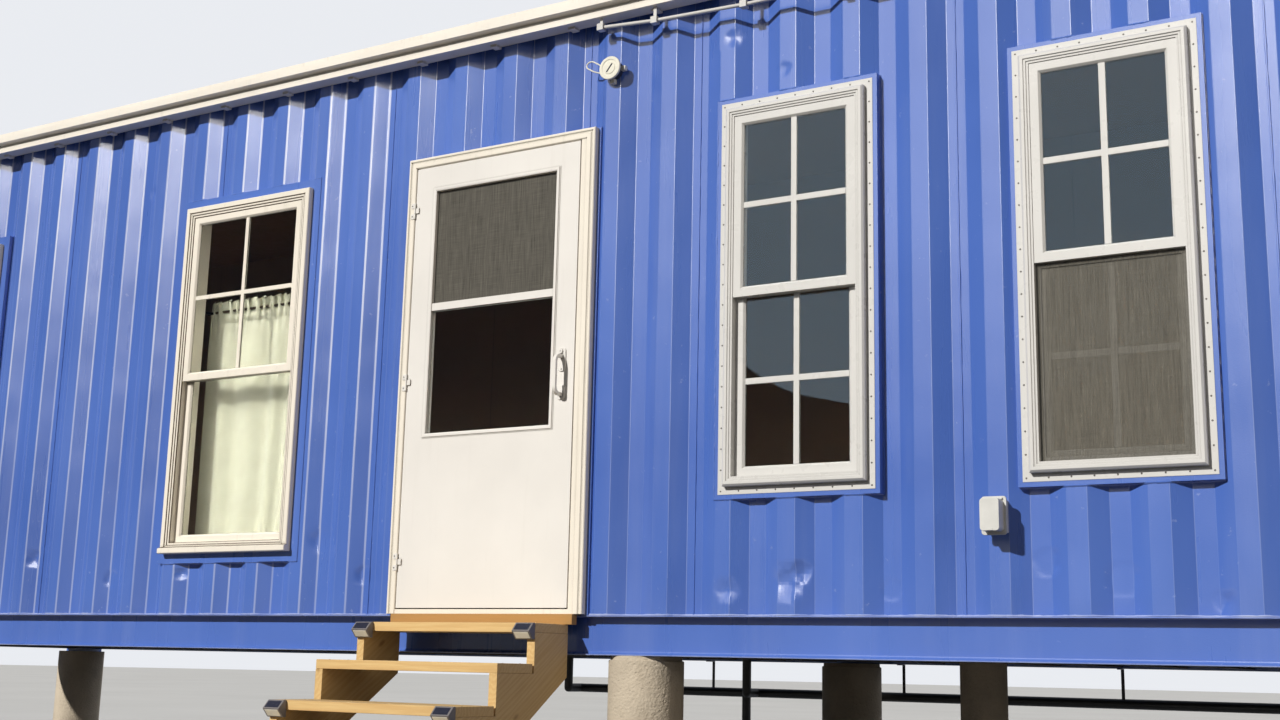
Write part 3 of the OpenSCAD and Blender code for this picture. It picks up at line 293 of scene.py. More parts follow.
def bar(bm, start, end, radius, tip, segments):
    """Adds a round bar between two points that narrows from radius to tip."""
    start, end = Vector(start), Vector(end)
    axis = end - start
    verts = bmesh.ops.create_cone(
        bm, cap_ends=True, segments=segments, radius1=radius, radius2=tip, depth=axis.length,
    )["verts"]
    turned(bm, verts, (start + end) / 2, axis)


def screw(bm, point, diameter, height, segments=14, sunk=0.001):
    """Adds a screw head that faces the front on a surface at a point."""
    bar(bm, point + Vector((0, sunk, 0)), point - Vector((0, height, 0)), diameter / 2,
        diameter / 3, segments)


def lathe(bm, profile, middle, axis):
    """Adds the shape that a profile of (radius, height) points sweeps round an axis."""
    verts = [bm.verts.new((radius, 0, height)) for radius, height in profile]
    edges = [bm.edges.new(pair) for pair in zip(verts, verts[1:])]
    known = set(bm.verts) - set(verts)
    bmesh.ops.spin(
        bm, geom=verts + edges, cent=(0, 0, 0), axis=(0, 0, 1), angle=2 * math.pi,
        steps=ROUND_STEPS, use_merge=True,
    )
    made = [v for v in bm.verts if v not in known]
    bmesh.ops.remove_doubles(bm, verts=made, dist=MERGE)
    made = [v for v in bm.verts if v not in known]
    faces = list({f for v in made for f in v.link_faces})
    bmesh.ops.recalc_face_normals(bm, faces=faces)
    turned(bm, made, middle, axis)


def finish_piece(bm, name, finish, node=None, body="cabin", sharp=SHARP, outward=False):
    """Makes a bmesh a piece that rides on a body and stands for the CAD node it replaces."""
    if outward:
        bmesh.ops.recalc_face_normals(bm, faces=bm.faces)
    for face in bm.faces:
        face.smooth = True
    for edge in bm.edges:
        edge.smooth = len(edge.link_faces) == 2 and edge.calc_face_angle(math.pi) < sharp
    mesh = bpy.data.meshes.new(name)
    bm.to_mesh(mesh)
    bm.free()
    mesh.materials.append(finishes()[finish])
    piece = bpy.data.objects.new(name, mesh)
    bpy.context.scene.collection.objects.link(piece)
    piece.modifiers.new("Weighted normals", "WEIGHTED_NORMAL").keep_sharp = True
    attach(piece, body)
    if node:
        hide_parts(node)
    return piece


def eased_copy(node, name, finish, edge, body="cabin", steps=2):
    """Replaces a CAD node by its own shape with rounded edges."""
    bm = node_form(node)
    ease_edges(bm, edge, steps)
    return finish_piece(bm, name, finish, node, body)


def inner_corners(node, plane):
    """The ends of each inner corner of a CAD node that lies in front of a plane."""
    bm = node_form(node)
    lines = [
        [vert.co.copy() for vert in edge.verts] for edge in bm.edges
        if len(edge.link_faces) == 2 and edge.calc_face_angle_signed(0) < -GROOVE_TURN
        and max(vert.co.y for vert in edge.verts) < plane
    ]
    bm.free()
    return lines


def mark_wear_and_highlight(bm, faces, wear_and_highlight, ends=0):
    """Marks how pale the inner points of rounded edges are, for worn paint and for painted
    highlight; so many end faces may touch them too.
    """
    worn_and_lit = bm.verts.layers.float.new(WEAR_AND_HIGHLIGHT)
    for vert in bm.verts:
        inside = sum(face in faces for face in vert.link_faces)
        if inside > 1 and len(vert.link_faces) - inside <= ends:
            vert[worn_and_lit] = wear_and_highlight(vert.co)


def wave(x):
    """Depth of the corrugated wall's outer face at a place along it."""
    away = abs(x - WAVE_PITCH * round(x / WAVE_PITCH)) - WAVE_FLAT / 2
    return WAVE_DEPTH * min(1.0, max(0.0, 1 - away / WAVE_SLOPE))


def on_wall(x, z):
    """The point of the corrugated wall's outer face at a place along it and a height."""
    return Vector((x, FLAT_Y + wave(x), z))


def along(start, end, step):
    """Points from start to end, about a step apart."""
    count = max(1, round((end - start).length / step))
    return [start.lerp(end, i / count) for i in range(count + 1)]


def sides_of(low, high, y, inset=0.0):
    """The ends of each side of an upright rectangle at a depth y, drawn in by inset."""
    left, right, foot, top = low.x + inset, high.x - inset, low.z + inset, high.z - inset
    corners = [
        Vector((x, y, z)) for x, z in ((left, foot), (right, foot), (right, top), (left, top))
    ]
    return [[corners[i], corners[(i + 1) % 4]] for i in range(4)]


def new_wire(name, radius, roundness):
    """An empty curve that gives its splines a round section."""
    curve = bpy.data.curves.new(name, "CURVE")
    curve.dimensions = "3D"
    curve.bevel_depth = radius
    curve.bevel_resolution = roundness
    curve.use_fill_caps = True
    return curve


def wire_piece(curve, name, finish):
    """Makes a curve's shape a piece and removes the curve."""
    holder = bpy.data.objects.new(name + "_path", curve)
    bpy.context.scene.collection.objects.link(holder)
    bpy.context.view_layer.update()
    shape = holder.evaluated_get(bpy.context.evaluated_depsgraph_get())
    bm = bmesh.new()
    bm.from_mesh(shape.to_mesh())
    shape.to_mesh_clear()
    bpy.data.objects.remove(holder)
    bmesh.ops.remove_doubles(bm, verts=bm.verts, dist=MERGE)
    return finish_piece(bm, name, finish, outward=True)


def tube(name, points, radius, finish):
    """A smooth round wire through points."""
    curve = new_wire(name, radius, 3)
    curve.resolution_u = 8
    spline = curve.splines.new("BEZIER")
    spline.bezier_points.add(len(points) - 1)
    for knot, point in zip(spline.bezier_points, points):
        knot.co = point
        knot.handle_left_type = knot.handle_right_type = "AUTO"
    return wire_piece(curve, name, finish)


def beads(name, paths, radius, finish):
    """Beads of weld or caulk along paths of points, of uneven width."""
    curve = new_wire(name, radius, 1)
    for path in paths:
        spline = curve.splines.new("POLY")
        spline.points.add(len(path) - 1)
        for knot, point in zip(spline.points, path):
            knot.co = (*point, 1)
            knot.radius = 1 + BEAD_UNEVEN * noise.noise(point * BEAD_RATE)
    return wire_piece(curve, name, finish)


# Materials

# Colours of what has settled on the finishes, and of the painted shade in grooves
SPLASHED_EARTH = (0.23, 0.19, 0.15)
RUST = (0.11, 0.045, 0.02)
GRIME = (0.3, 0.26, 0.2)
# Painted shade in grooves and inner corners
GROOVE_SHADE = (0.1, 0.085, 0.065)
WATER_STAIN = (0.2, 0.155, 0.1)


class Nodes:
    """A node tree being built."""

    def __init__(self, tree):
        self.tree = tree

    def give(self, socket, value):
        """Links an input that is given a socket, and sets it to any other value."""
        if isinstance(value, bpy.types.NodeSocket):
            self.tree.links.new(value, socket)
        elif socket.type == "RGBA":
            socket.default_value = (*value, 1)
        else:
            socket.default_value = value

    def add(self, kind, inputs=None, **settings):
        node = self.tree.nodes.new(kind)
        for name, value in settings.items():
            setattr(node, name, value)
        for key, value in (inputs or {}).items():
            self.give(node.inputs[key], value)
        return node

    def math(self, operation, *values):
        return self.add("ShaderNodeMath", dict(enumerate(values)), operation=operation).outputs[0]

    def ranged(self, value, start, end, low=0.0, high=1.0):
        """A value that runs from low to high while the given one runs from start to end."""
        return self.add("ShaderNodeMapRange", {
            "Value": value, "From Min": start, "From Max": end, "To Min": low, "To Max": high,
        }).outputs[0]

    def clouds(self, where, scale, detail, roughness=0.5):
        return self.add("ShaderNodeTexNoise", {
            "Vector": where, "Scale": scale, "Detail": detail, "Roughness": roughness,
        }).outputs["Fac"]

    def mix(self, factor, one, two):
        """A colour between one and two."""
        return self.add("ShaderNodeMix", {0: factor, 6: one, 7: two}, data_type="RGBA").outputs[2]


def new_group(name, output, **inputs):
    """A shader node group with a vector and these inputs, and one output."""
    nodes = Nodes(bpy.data.node_groups.new(name, "ShaderNodeTree"))
    sockets = nodes.tree.interface
    sockets.new_socket("Vector", in_out="INPUT", socket_type="NodeSocketVector")
    for label, value in inputs.items():
        socket = sockets.new_socket(label, in_out="INPUT", socket_type="NodeSocketFloat")
        socket.default_value = value
    sockets.new_socket(output, in_out="OUTPUT", socket_type="NodeSocketFloat")
    return nodes, nodes.add("NodeGroupInput").outputs, nodes.add("NodeGroupOutput").inputs[0]


def mottling_group():
    """Soft variation between two values."""
    nodes, given, result = new_group("Mottling", "Value", Scale=1.0, Detail=3.0, Low=0.0, High=1.0)
    cloud = nodes.clouds(given["Vector"], given["Scale"], given["Detail"])
    nodes.give(result, nodes.ranged(cloud, 0.3, 0.7, given["Low"], given["High"]))
    return nodes.tree


def patches_group():
    """Patches with soft edges: 1 inside and 0 outside, over a share of the surface."""
    nodes, given, result = new_group("Patches", "Mask", Scale=1.0, Cover=0.3, Softness=0.1)
    cloud = nodes.clouds(given["Vector"], given["Scale"], 6.0, 0.62)
    edge = nodes.ranged(given["Cover"], 0.0, 1.0, 0.75, 0.25)
    nodes.give(result, nodes.ranged(cloud, edge, nodes.math("ADD", edge, given["Softness"])))
    return nodes.tree


def splash_group():
    """A mask that falls from 1 at one height to 0 at another, broken by noise."""
    nodes, given, result = new_group("Splash", "Mask", Low=0.0, High=1.0, Ragged=0.2)
    shift = nodes.math("MULTIPLY", nodes.clouds(given["Vector"], 5.0, 5.0), given["Ragged"])
    level = nodes.add("ShaderNodeSeparateXYZ", {"Vector": given["Vector"]}).outputs["Z"]
    moved = nodes.math("ADD", level, shift)
    nodes.give(result, nodes.ranged(moved, given["Low"], given["High"], 1.0, 0.0))
    return nodes.tree


def weave_group():
    """Height of a plain weave with so many threads a metre along the vector's X and Z."""
    nodes, given, result = new_group("Weave", "Height", Threads=600.0)
    threads = nodes.add("ShaderNodeVectorMath", {
        0: given["Vector"], "Scale": given["Threads"],
    }, operation="SCALE").outputs[0]
    axes = nodes.add("ShaderNodeSeparateXYZ", {"Vector": threads}).outputs
    waves = [
        nodes.math("ABSOLUTE", nodes.math("SINE", nodes.math("MULTIPLY", axes[axis], math.pi)))
        for axis in "XZ"
    ]
    nodes.give(result, nodes.math("MAXIMUM", *waves))
    return nodes.tree


EFFECTS = {
    "Mottling": mottling_group, "Patches": patches_group, "Splash": splash_group,
    "Weave": weave_group,
}


def shaded(tone, share_left):
    return tuple(share_left * c for c in tone)


class Coat(Nodes):
    """A material being built, whose effects lie on object coordinates or on where."""

    def __init__(self, name):
        self.material = bpy.data.materials.new(name)
        self.material.use_nodes = True
        super().__init__(self.material.node_tree)
        self.tree.nodes.clear()
        self.where = self.add("ShaderNodeTexCoord").outputs["Object"]

    def stretched(self, *scale):
        """Object coordinates scaled along each axis."""
        return self.add("ShaderNodeMapping", {"Vector": self.where, "Scale": scale}).outputs[0]

    def effect(self, name, where=None, **values):
        """The output of a shared effect, which is made when it is first asked for."""
        tree = bpy.data.node_groups.get(name) or EFFECTS[name]()
        values["Vector"] = self.where if where is None else where
        return self.add("ShaderNodeGroup", values, node_tree=tree).outputs[0]

    def mottling(self, scale, detail=3.0, low=0.0, high=1.0, where=None):
        return self.effect("Mottling", where, Scale=scale, Detail=detail, Low=low, High=high)

    def patches(self, scale, cover, softness, where=None):
        return self.effect("Patches", where, Scale=scale, Cover=cover, Softness=softness)

    def dappled(self, tone, depth, scale, detail):
        """A tone that darkens in clouds to a share of itself."""
        return self.mix(self.mottling(scale, detail=detail), shaded(tone, depth), tone)

    def stained(self, body, mask, amount, tone):
        """A colour that goes over to another where a mask is, by an amount."""
        return self.mix(self.math("MULTIPLY", mask, amount), body, tone)

    def corner_shade(self, reach):
        """A mask of painted shade from ambient occlusion in grooves and inner corners: 1 deep in
        them and 0 on open faces.
        """
        shut = self.add("ShaderNodeAmbientOcclusion", {"Distance": reach}, samples=4,
                        only_local=True)
        return self.ranged(shut.outputs["AO"], 0.5, 0.97, 1.0, 0.0)

    def relief(self, height, depth, over=None):
        """The normal of a surface whose height runs from 0 to depth, in metres, over another."""
        inputs = {"Height": height, "Distance": depth, "Strength": 1.0}
        if over is not None:
            inputs["Normal"] = over
        return self.add("ShaderNodeBump", inputs).outputs[0]

    def principled(self, body, rough, normal, **inputs):
        inputs = {key.replace("_", " "): value for key, value in inputs.items()}
        return self.add("ShaderNodeBsdfPrincipled", {
            "Base Color": body, "Roughness": rough, "Normal": normal, **inputs,
        }).outputs[0]

    def done(self, shader):
        """The material, with this shader as its surface."""
        self.add("ShaderNodeOutputMaterial", {"Surface": shader})
        return self.material

    def painted(self, body, rough, normal, **inputs):
        return self.done(self.principled(body, rough, normal, **inputs))


def blue_paint(name, tones, waviness, foot):
    """Gloss paint on steel: chalky in streaks, pale on marked edges (painted highlight on the
    sheets' bends, worn paint on the rails) and dusty near the ground.
    """
    coat = Coat(name)
    streaks = coat.stretched(1, 1, 0.07)
    body = coat.mix(coat.mottling(0.9), tones.deep_blue, tones.wall_blue)
    bloom = coat.patches(6.0, cover=0.5, softness=0.45, where=streaks)
    body = coat.stained(body, bloom, 0.07, tones.chalk_and_highlight)
    body = coat.stained(body, coat.patches(27.0, cover=0.16, softness=0.05), 0.13, tones.chalk_and_highlight)
    splash = coat.effect("Splash", Low=foot - 0.1, High=foot + 0.3, Ragged=0.3)
    body = coat.stained(body, splash, 0.08, SPLASHED_EARTH)
    # Pale edges from the attribute: painted highlight on the sheets' bends, worn paint on the rails
    worn_and_lit = coat.add("ShaderNodeAttribute", attribute_name=WEAR_AND_HIGHLIGHT).outputs["Fac"]
    broken = coat.mottling(11.0, detail=4.0, low=0.35, high=1.0, where=streaks)
    body = coat.stained(body, worn_and_lit, broken, tones.chalk_and_highlight)
    sheet = coat.relief(coat.mottling(2.6, detail=1.0), waviness)
    return coat.painted(
        body, coat.mottling(7.0, detail=5.0, low=0.24, high=0.34, where=streaks),
        coat.relief(coat.mottling(210.0, detail=2.0), 0.0001, sheet),
        Specular_IOR_Level=0.7, Coat_Weight=0.4, Coat_Roughness=0.14,
    )


def underside_paint(name, tone):
    """Dark coating under the floor, with dust and rust."""
    coat = Coat(name)
    body = coat.stained(tone, coat.patches(6.0, cover=0.4, softness=0.2), 0.6, RUST)
    return coat.painted(body, coat.mottling(14.0, low=0.6, high=0.85),
                        coat.relief(coat.mottling(120.0, detail=4.0), 0.0006))


def pale_coat(name, tone, low, high, grain, dirt, corners=0.5, reach=0.01, stretch=(1, 1, 1)):
    """A pale coat of paint or vinyl with faint dirt, painted shade in its grooves and inner
    corners, and a fine skin.
    """
    coat = Coat(name)
    body = coat.dappled(tone, 0.93, 3.0, 4.0)
    runs = coat.patches(22.0, cover=0.35, softness=0.25, where=coat.stretched(1, 1, 0.06))
    grime = coat.math("MAXIMUM", coat.patches(45.0, cover=0.2, softness=0.1), runs)
    body = coat.stained(body, grime, dirt, GRIME)
    # Painted shade in grooves and inner corners, by the share corners
    body = coat.stained(body, coat.corner_shade(reach), corners, GROOVE_SHADE)
    skin = coat.mottling(260.0, where=coat.stretched(*stretch))
    return coat.painted(body, coat.mottling(18.0, low=low, high=high), coat.relief(skin, grain))


def wood(name, early, late, along, slope=0.0):
    """Sawn softwood with late wood and knots, its grain along one axis and turned up by slope."""
    coat = Coat(name)

    def grain(squeeze):
        """Object coordinates in which the grain's own direction is squeezed."""
        return coat.add("ShaderNodeMapping", {
            "Vector": coat.where, "Rotation": (slope, 0, 0),
            "Scale": tuple(1 / squeeze if axis == along else 1.0 for axis in "XYZ"),
        }, vector_type="TEXTURE").outputs[0]

    where = grain(0.06)
    rings = coat.add("ShaderNodeTexWave", {
        "Vector": where, "Scale": 17.0, "Distortion": 11.0, "Detail": 3.0, "Detail Scale": 1.3,
    }, wave_type="RINGS", rings_direction=along).outputs["Fac"]
    fibre = coat.mottling(160.0, where=where)
    body = coat.stained(early, rings, 0.38, late)
    body = coat.mix(coat.mottling(2.1, high=0.35), body, tuple(min(1, 1.25 * c) for c in early))
    knots = coat.add("ShaderNodeTexVoronoi", {"Vector": grain(0.45), "Scale": 7.0})
    knot = coat.ranged(knots.outputs["Distance"], 0.05, 0.1, 0.6, 0.0)
    body = coat.mix(knot, body, shaded(late, 0.5))
    body = coat.stained(body, fibre, 0.2, late)
    return coat.painted(body, coat.mottling(30.0, low=0.55, high=0.75, where=where),
                        coat.relief(fibre, 0.0004))


def concrete(name, tone):
    """Cast concrete: stained, gritty and with air holes."""
    coat = Coat(name)
    stains = coat.patches(6.0, cover=0.35, softness=0.2, where=coat.stretched(1, 1, 0.3))
    body = coat.stained(coat.dappled(tone, 0.66, 5.0, 8.0), stains, 0.5, WATER_STAIN)
    holes = coat.add("ShaderNodeTexVoronoi", {"Vector": coat.where, "Scale": 38.0})
    pits = coat.math("MULTIPLY", coat.ranged(holes.outputs["Distance"], 0.1, 0.22), 0.8)
    height = coat.math("ADD", coat.mottling(90.0, detail=8.0), pits)
    return coat.painted(body, coat.mottling(11.0, low=0.75, high=0.95), coat.relief(height, 0.0018))


def glass(name):
    """Window glass that lets the lamps through, with faint dust on it."""
    coat = Coat(name)
    haze = coat.patches(4.0, cover=0.4, softness=0.3)
    shader = coat.principled(
        (0.9, 0.92, 0.92), coat.ranged(haze, 0.0, 1.0, high=0.02),
        coat.relief(coat.mottling(1.6, detail=1.0), 0.0006),
        Transmission_Weight=1.0, IOR=1.38, Specular_Tint=(0.52, 0.74, 1.0),
    )
    clear = coat.add("ShaderNodeBsdfTransparent", {"Color": (0.84, 0.86, 0.85)})
    ray = coat.add("ShaderNodeLightPath").outputs["Is Shadow Ray"]
    return coat.done(coat.add("ShaderNodeMixShader", {
        0: ray, 1: shader, 2: clear.outputs[0],
    }).outputs[0])


def mesh_screen(name, tone, cover):
    """Woven insect screen: a dark open weave with lighter and darker threads down it."""
    coat = Coat(name)
    down = coat.mottling(380.0, detail=4.0, where=coat.stretched(1, 1, 0.02))
    across = coat.mottling(300.0, detail=4.0, where=coat.stretched(0.03, 1, 1))
    shade = coat.math("ADD", coat.math("MULTIPLY", down, 0.65), coat.math("MULTIPLY", across, 0.35))
    holes = coat.mottling(240.0, detail=2.0, low=cover - 0.12, high=cover + 0.08,
                          where=coat.stretched(1, 1, 0.05))
    return coat.painted(
        coat.mix(shade, shaded(tone, 0.4), shaded(tone, 1.6)), 0.55,
        coat.relief(coat.effect("Weave", Threads=640.0), 0.0002), Alpha=holes,
    )


def metal(name, tone, low, high):
    """Bare or plated metal with fine wear."""
    coat = Coat(name)
    return coat.painted(
        coat.dappled(tone, 0.7, 26.0, 6.0), coat.mottling(60.0, low=low, high=high),
        coat.relief(coat.mottling(320.0), 0.00005), Metallic=1.0,
    )


def cotton(name, tone):
    """Plain cotton that lets some light through."""
    coat = Coat(name)
    height = coat.effect("Weave", Threads=900.0)
    return coat.painted(
        coat.stained(coat.dappled(tone, 0.86, 9.0, 4.0), height, 0.14, shaded(tone, 0.72)), 0.85,
        coat.relief(height, 0.00025), Sheen_Weight=0.25, Sheen_Roughness=0.5,
        Subsurface_Weight=0.1, Subsurface_Radius=(0.01, 0.01, 0.008), Subsurface_Scale=0.3,
    )


def board_face(name, tone, joint, depth):
    """Sheets of lining board or ply with a joint at every so many metres, seen inside the room."""
    coat = Coat(name)
    x = coat.add("ShaderNodeSeparateXYZ", {"Vector": coat.where}).outputs["X"]
    step = coat.math("FRACT", coat.math("MULTIPLY", x, 1 / joint))
    gap = coat.ranged(step, 0.0, 0.006, 1.0, 0.0)
    return coat.painted(
        coat.stained(coat.dappled(tone, 0.85, 2.0, 6.0), gap, 0.6, shaded(tone, 0.3)),
        coat.mottling(20.0, low=0.5, high=0.7), coat.relief(coat.mottling(150.0), depth),
    )


def plastic(name, tone, low, high):
    """Moulded plastic with a fine pebbled skin."""
    coat = Coat(name)
    return coat.painted(
        coat.dappled(tone, 0.84, 12.0, 5.0), coat.mottling(40.0, low=low, high=high),
        coat.relief(coat.mottling(600.0, detail=2.0), 0.00008),
    )


def floor_coat(name):
    """Pale studio floor that throws little light back up at the cabin."""
    coat = Coat(name)
    seen = coat.add("ShaderNodeBsdfPrincipled", {
        "Base Color": coat.mix(coat.mottling(0.4), (0.46, 0.455, 0.44), (0.5, 0.495, 0.48)),
        "Roughness": coat.mottling(3.0, low=0.75, high=0.85),
    })
    bounce = coat.add("ShaderNodeBsdfDiffuse", {"Color": (0.09, 0.086, 0.08)})
    ray = coat.add("ShaderNodeLightPath").outputs["Is Diffuse Ray"]
    return coat.done(coat.add("ShaderNodeMixShader", {
        0: ray, 1: seen.outputs[0], 2: bounce.outputs[0],
    }).outputs[0])


@functools.cache
def finishes():
    """Every finish of the cabin by name, made once.

    The two plain numbers of a coat, metal or plastic are its least and most roughness.
    """
    tones = bpy.context.scene.cabin_colours
    white = tones.gutter_white
    slope = math.atan2(STEP_RISE, STEP_GOING)
    return {
        "sheet": blue_paint("Blue paint on sheet", tones, waviness=0.0035, foot=FOOT_Z),
        "bars": blue_paint("Blue paint on bars", tones, waviness=0.0006, foot=FOOT_Z - 0.2),
        "underside": underside_paint("Underside coating", tones.underside),
        "cream": pale_coat("Cream paint", tones.cream, 0.35, 0.5, grain=0.0002, dirt=0.3,
                           corners=0.9, reach=0.02, stretch=(1, 1, 0.1)),
        "vinyl": pale_coat("White vinyl", tones.vinyl, 0.25, 0.36, grain=0.00004, dirt=0.12),
        "door": pale_coat("White door paint", tones.door_white, 0.3, 0.4, grain=0.00005, dirt=0.1,
                          corners=0.6, reach=0.012),
        "gutter": pale_coat("White gutter paint", white, 0.28, 0.42, grain=0.00004, dirt=0.22,
                            corners=0.4, reach=0.03),
        "fascia": pale_coat("Fascia paint", white, 0.45, 0.6, grain=0.0002, dirt=0.3),
        "glass": glass("Window glass"),
        "door_screen": mesh_screen("Door screen", tones.screen, cover=0.9),
        "window_screen": mesh_screen("Window screen", tones.window_screen, cover=0.56),
        "tread_wood": wood("Tread boards", tones.timber, tones.timber_dark, "X"),
        "side_wood": wood("Stringer boards", tones.timber, tones.timber_dark, "Y", slope),
        # Painted shade: the sill board takes a darker tone
        "shaded_sill_wood": wood("Sill board", tones.shaded_sill, tones.timber_dark, "X"),
        "concrete": concrete("Cast concrete", tones.concrete),
        "zinc": metal("Zinc plate", (0.5, 0.5, 0.52), 0.35, 0.55),
        "screw": metal("Dulled screw heads", (0.2, 0.19, 0.18), 0.4, 0.6),
        "dark_metal": metal("Bronzed rod", (0.07, 0.05, 0.035), 0.3, 0.45),
        "nickel": metal("Satin nickel", (0.62, 0.6, 0.56), 0.22, 0.35),
        "cloth": cotton("Curtain cotton", tones.cloth),
        # The lining's dark tone is partly painted shade, so the room behind the glass looks shaded
        "lining": board_face("Plywood lining", (0.27, 0.19, 0.115), joint=1.22, depth=0.0002),
        "ply": board_face("Plywood floor", (0.4, 0.25, 0.12), joint=1.16, depth=0.0003),
        "grey_plastic": plastic("Grey fitting plastic", (0.62, 0.62, 0.6), 0.35, 0.5),
        "dark_plastic": plastic("Dark fitting shell", (0.02, 0.022, 0.04), 0.4, 0.55),
        "face_plastic": plastic("Cream fitting face", (0.78, 0.76, 0.66), 0.3, 0.42),
        "black_pipe": plastic("Black pipe", (0.016, 0.016, 0.017), 0.35, 0.5),
        "cap_grey": plastic("Step light cap", tones.cap_grey, 0.45, 0.62),
        "caulk": plastic("Dirty caulk", (0.09, 0.06, 0.035), 0.6, 0.8),
        "rubber": plastic("Door seal rubber", (0.012, 0.012, 0.012), 0.6, 0.75),
    }


def repaint(finish, *nodes):
    """Gives CAD nodes that keep their shape a detailed finish."""
    for node in nodes:
        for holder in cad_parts[node].material_slots:
            holder.material = finishes()[finish]


# Pieces

# Dents of the front wall: place along it, height over its foot, radius, share of the full depth
DENTS = (
    (-3.67, 0.29, 0.06, 0.7), (-3.08, 0.18, 0.05, 0.8), (-2.57, 0.2, 0.04, 0.7),
    (-1.69, 0.34, 0.07, 0.8), (-1.42, 0.18, 0.05, 0.9), (0.44, 0.1, 0.06, 0.6),
    (0.7, 0.13, 0.09, 1.0), (0.75, 0.17, 0.05, 0.8), (1.11, 0.1, 0.05, 0.6),
    (1.69, 0.19, 0.06, 0.8), (1.95, 0.13, 0.07, 0.8), (2.28, 0.05, 0.05, 0.7),
    (0.44, 2.38, 0.05, 0.5), (0.68, 2.2, 0.045, 0.3), (-3.0, 2.2, 0.05, 0.5),
    (-5.5, 0.25, 0.07, 0.7), (3.5, 0.2, 0.08, 0.9), (5.4, 0.3, 0.06, 0.8),
)
# Cuts on each side of a dent's middle, how ragged its edge is, and how fast that changes
DENT_CUTS, DENT_RAGGED, RAGGED_RATE = 6, 0.25, 40
# How far a recess of the sheet can be pressed before it meets the lining
DENT_GAP = 0.0015
# The recesses with a seam, counted in pitches from the middle, and the distance of its points
SEAM_RECESSES = (-21, -17, -13, -9, -5, -1, 1, 5, 9, 13, 17, 21)
SEAM_STEP = 0.03
# Angles, in degrees, between which two flats of a sheet meet in a bend
SHEET_BENDS = (15, 75)
# Painted highlight on the bends of slopes that face left, and on the others at the wall's foot
LEFT_HIGHLIGHT, FOOT_HIGHLIGHT = 0.06, 0.4
# The others' share of painted highlight along the wall: where it is MID_HIGHLIGHT, its fall in a
# metre, and its least
MID_X, MID_HIGHLIGHT, HIGHLIGHT_FALL, LEAST_HIGHLIGHT = -0.5, 0.62, 1 / 3, 0.35


def press_dent(bm, x, z, radius, depth):
    """Cuts the sheet finely round a point and presses it in there."""
    middle = Vector((x, 0, z))
    faces = [f for f in bm.faces if abs(f.calc_center_median().x - x) < 2 * radius]
    geom = list({g for f in faces for g in (f, *f.edges, *f.verts)})
    for normal in (Vector((1, 0, 0)), Vector((0, 0, 1))):
        for i in range(-DENT_CUTS, DENT_CUTS + 1):
            point = middle + normal * (radius * i / DENT_CUTS)
            geom = bmesh.ops.bisect_plane(
                bm, geom=geom, dist=MERGE, plane_co=point, plane_no=normal
            )["geom"]
    for vert in {g for g in geom if isinstance(g, bmesh.types.BMVert)}:
        away = Vector((vert.co.x - x, vert.co.z - z))
        ripple = DENT_RAGGED * noise.noise(Vector((vert.co.x, 3 * x, vert.co.z)) * RAGGED_RATE)
        inner = max(0.0, 1 - away.length / (radius * (1 + ripple)))
        room = max(0.0, WAVE_DEPTH + DENT_GAP - wave(vert.co.x))
        vert.co.y += min(room, depth * inner * inner * (3 - 2 * inner))


def highlight_at(x, z):
    """How bright the painted highlight on a bend is: only those of slopes that face right, most at
    the wall's upper left.
    """
    if x > WAVE_PITCH * round(x / WAVE_PITCH):
        return LEFT_HIGHLIGHT
    high = min(1.0, max(0.0, (z - FOOT_Z) / (WALL_TOP - FOOT_Z)))
    here = min(1.0, max(LEAST_HIGHLIGHT, MID_HIGHLIGHT - (x - MID_X) * HIGHLIGHT_FALL))
    return (FOOT_HIGHLIGHT + (1 - FOOT_HIGHLIGHT) * high) * here


def sheet_skin(node, name, sizes, dents=(), sides=()):
    """Replaces a corrugated sheet by one with round bends, and with dents pressed into it."""
    bm = node_form(node)
    bends = set(ease_edges(bm, sizes.bend, 3, *SHEET_BENDS, sides))
    # The pale lines on the bends are painted highlight, shaped by highlight_at
    mark_wear_and_highlight(bm, bends, lambda point: sizes.wear_and_highlight * highlight_at(point.x, point.z), ends=1)
    for x, z, radius, depth in dents:
        press_dent(bm, x, FOOT_Z + z, radius, depth * sizes.dent_depth)
    return finish_piece(bm, name, "sheet", node, sharp=math.radians(50))


def seam_paths(boxes):
    """Welds between the wall's sheets, down some of the recesses, except across the openings."""
    paths = []
    for n in SEAM_RECESSES:
        x = n * WAVE_PITCH
        stops = [(FOOT_Z, WALL_TOP)]
        for low, high in boxes:
            if low.x < x < high.x:
                stops = [(FOOT_Z, low.z), (high.z, WALL_TOP)]
        paths += [along(on_wall(x, foot), on_wall(x, top), SEAM_STEP)
                  for foot, top in stops if top - foot > WAVE_PITCH]
    return paths


def surround_paths(low, high, step, foot=True):
    """Welds where a steel surround meets the wavy wall: sides, head and perhaps foot."""
    count = round((high.x - low.x) / step)
    across = [low.x + (high.x - low.x) * i / count for i in range(count + 1)]
    levels = (high.z, low.z) if foot else (high.z,)
    return [[on_wall(x, z) for x in across] for z in levels] + [
        along(on_wall(x, low.z), on_wall(x, high.z), step) for x in (low.x, high.x)
    ]


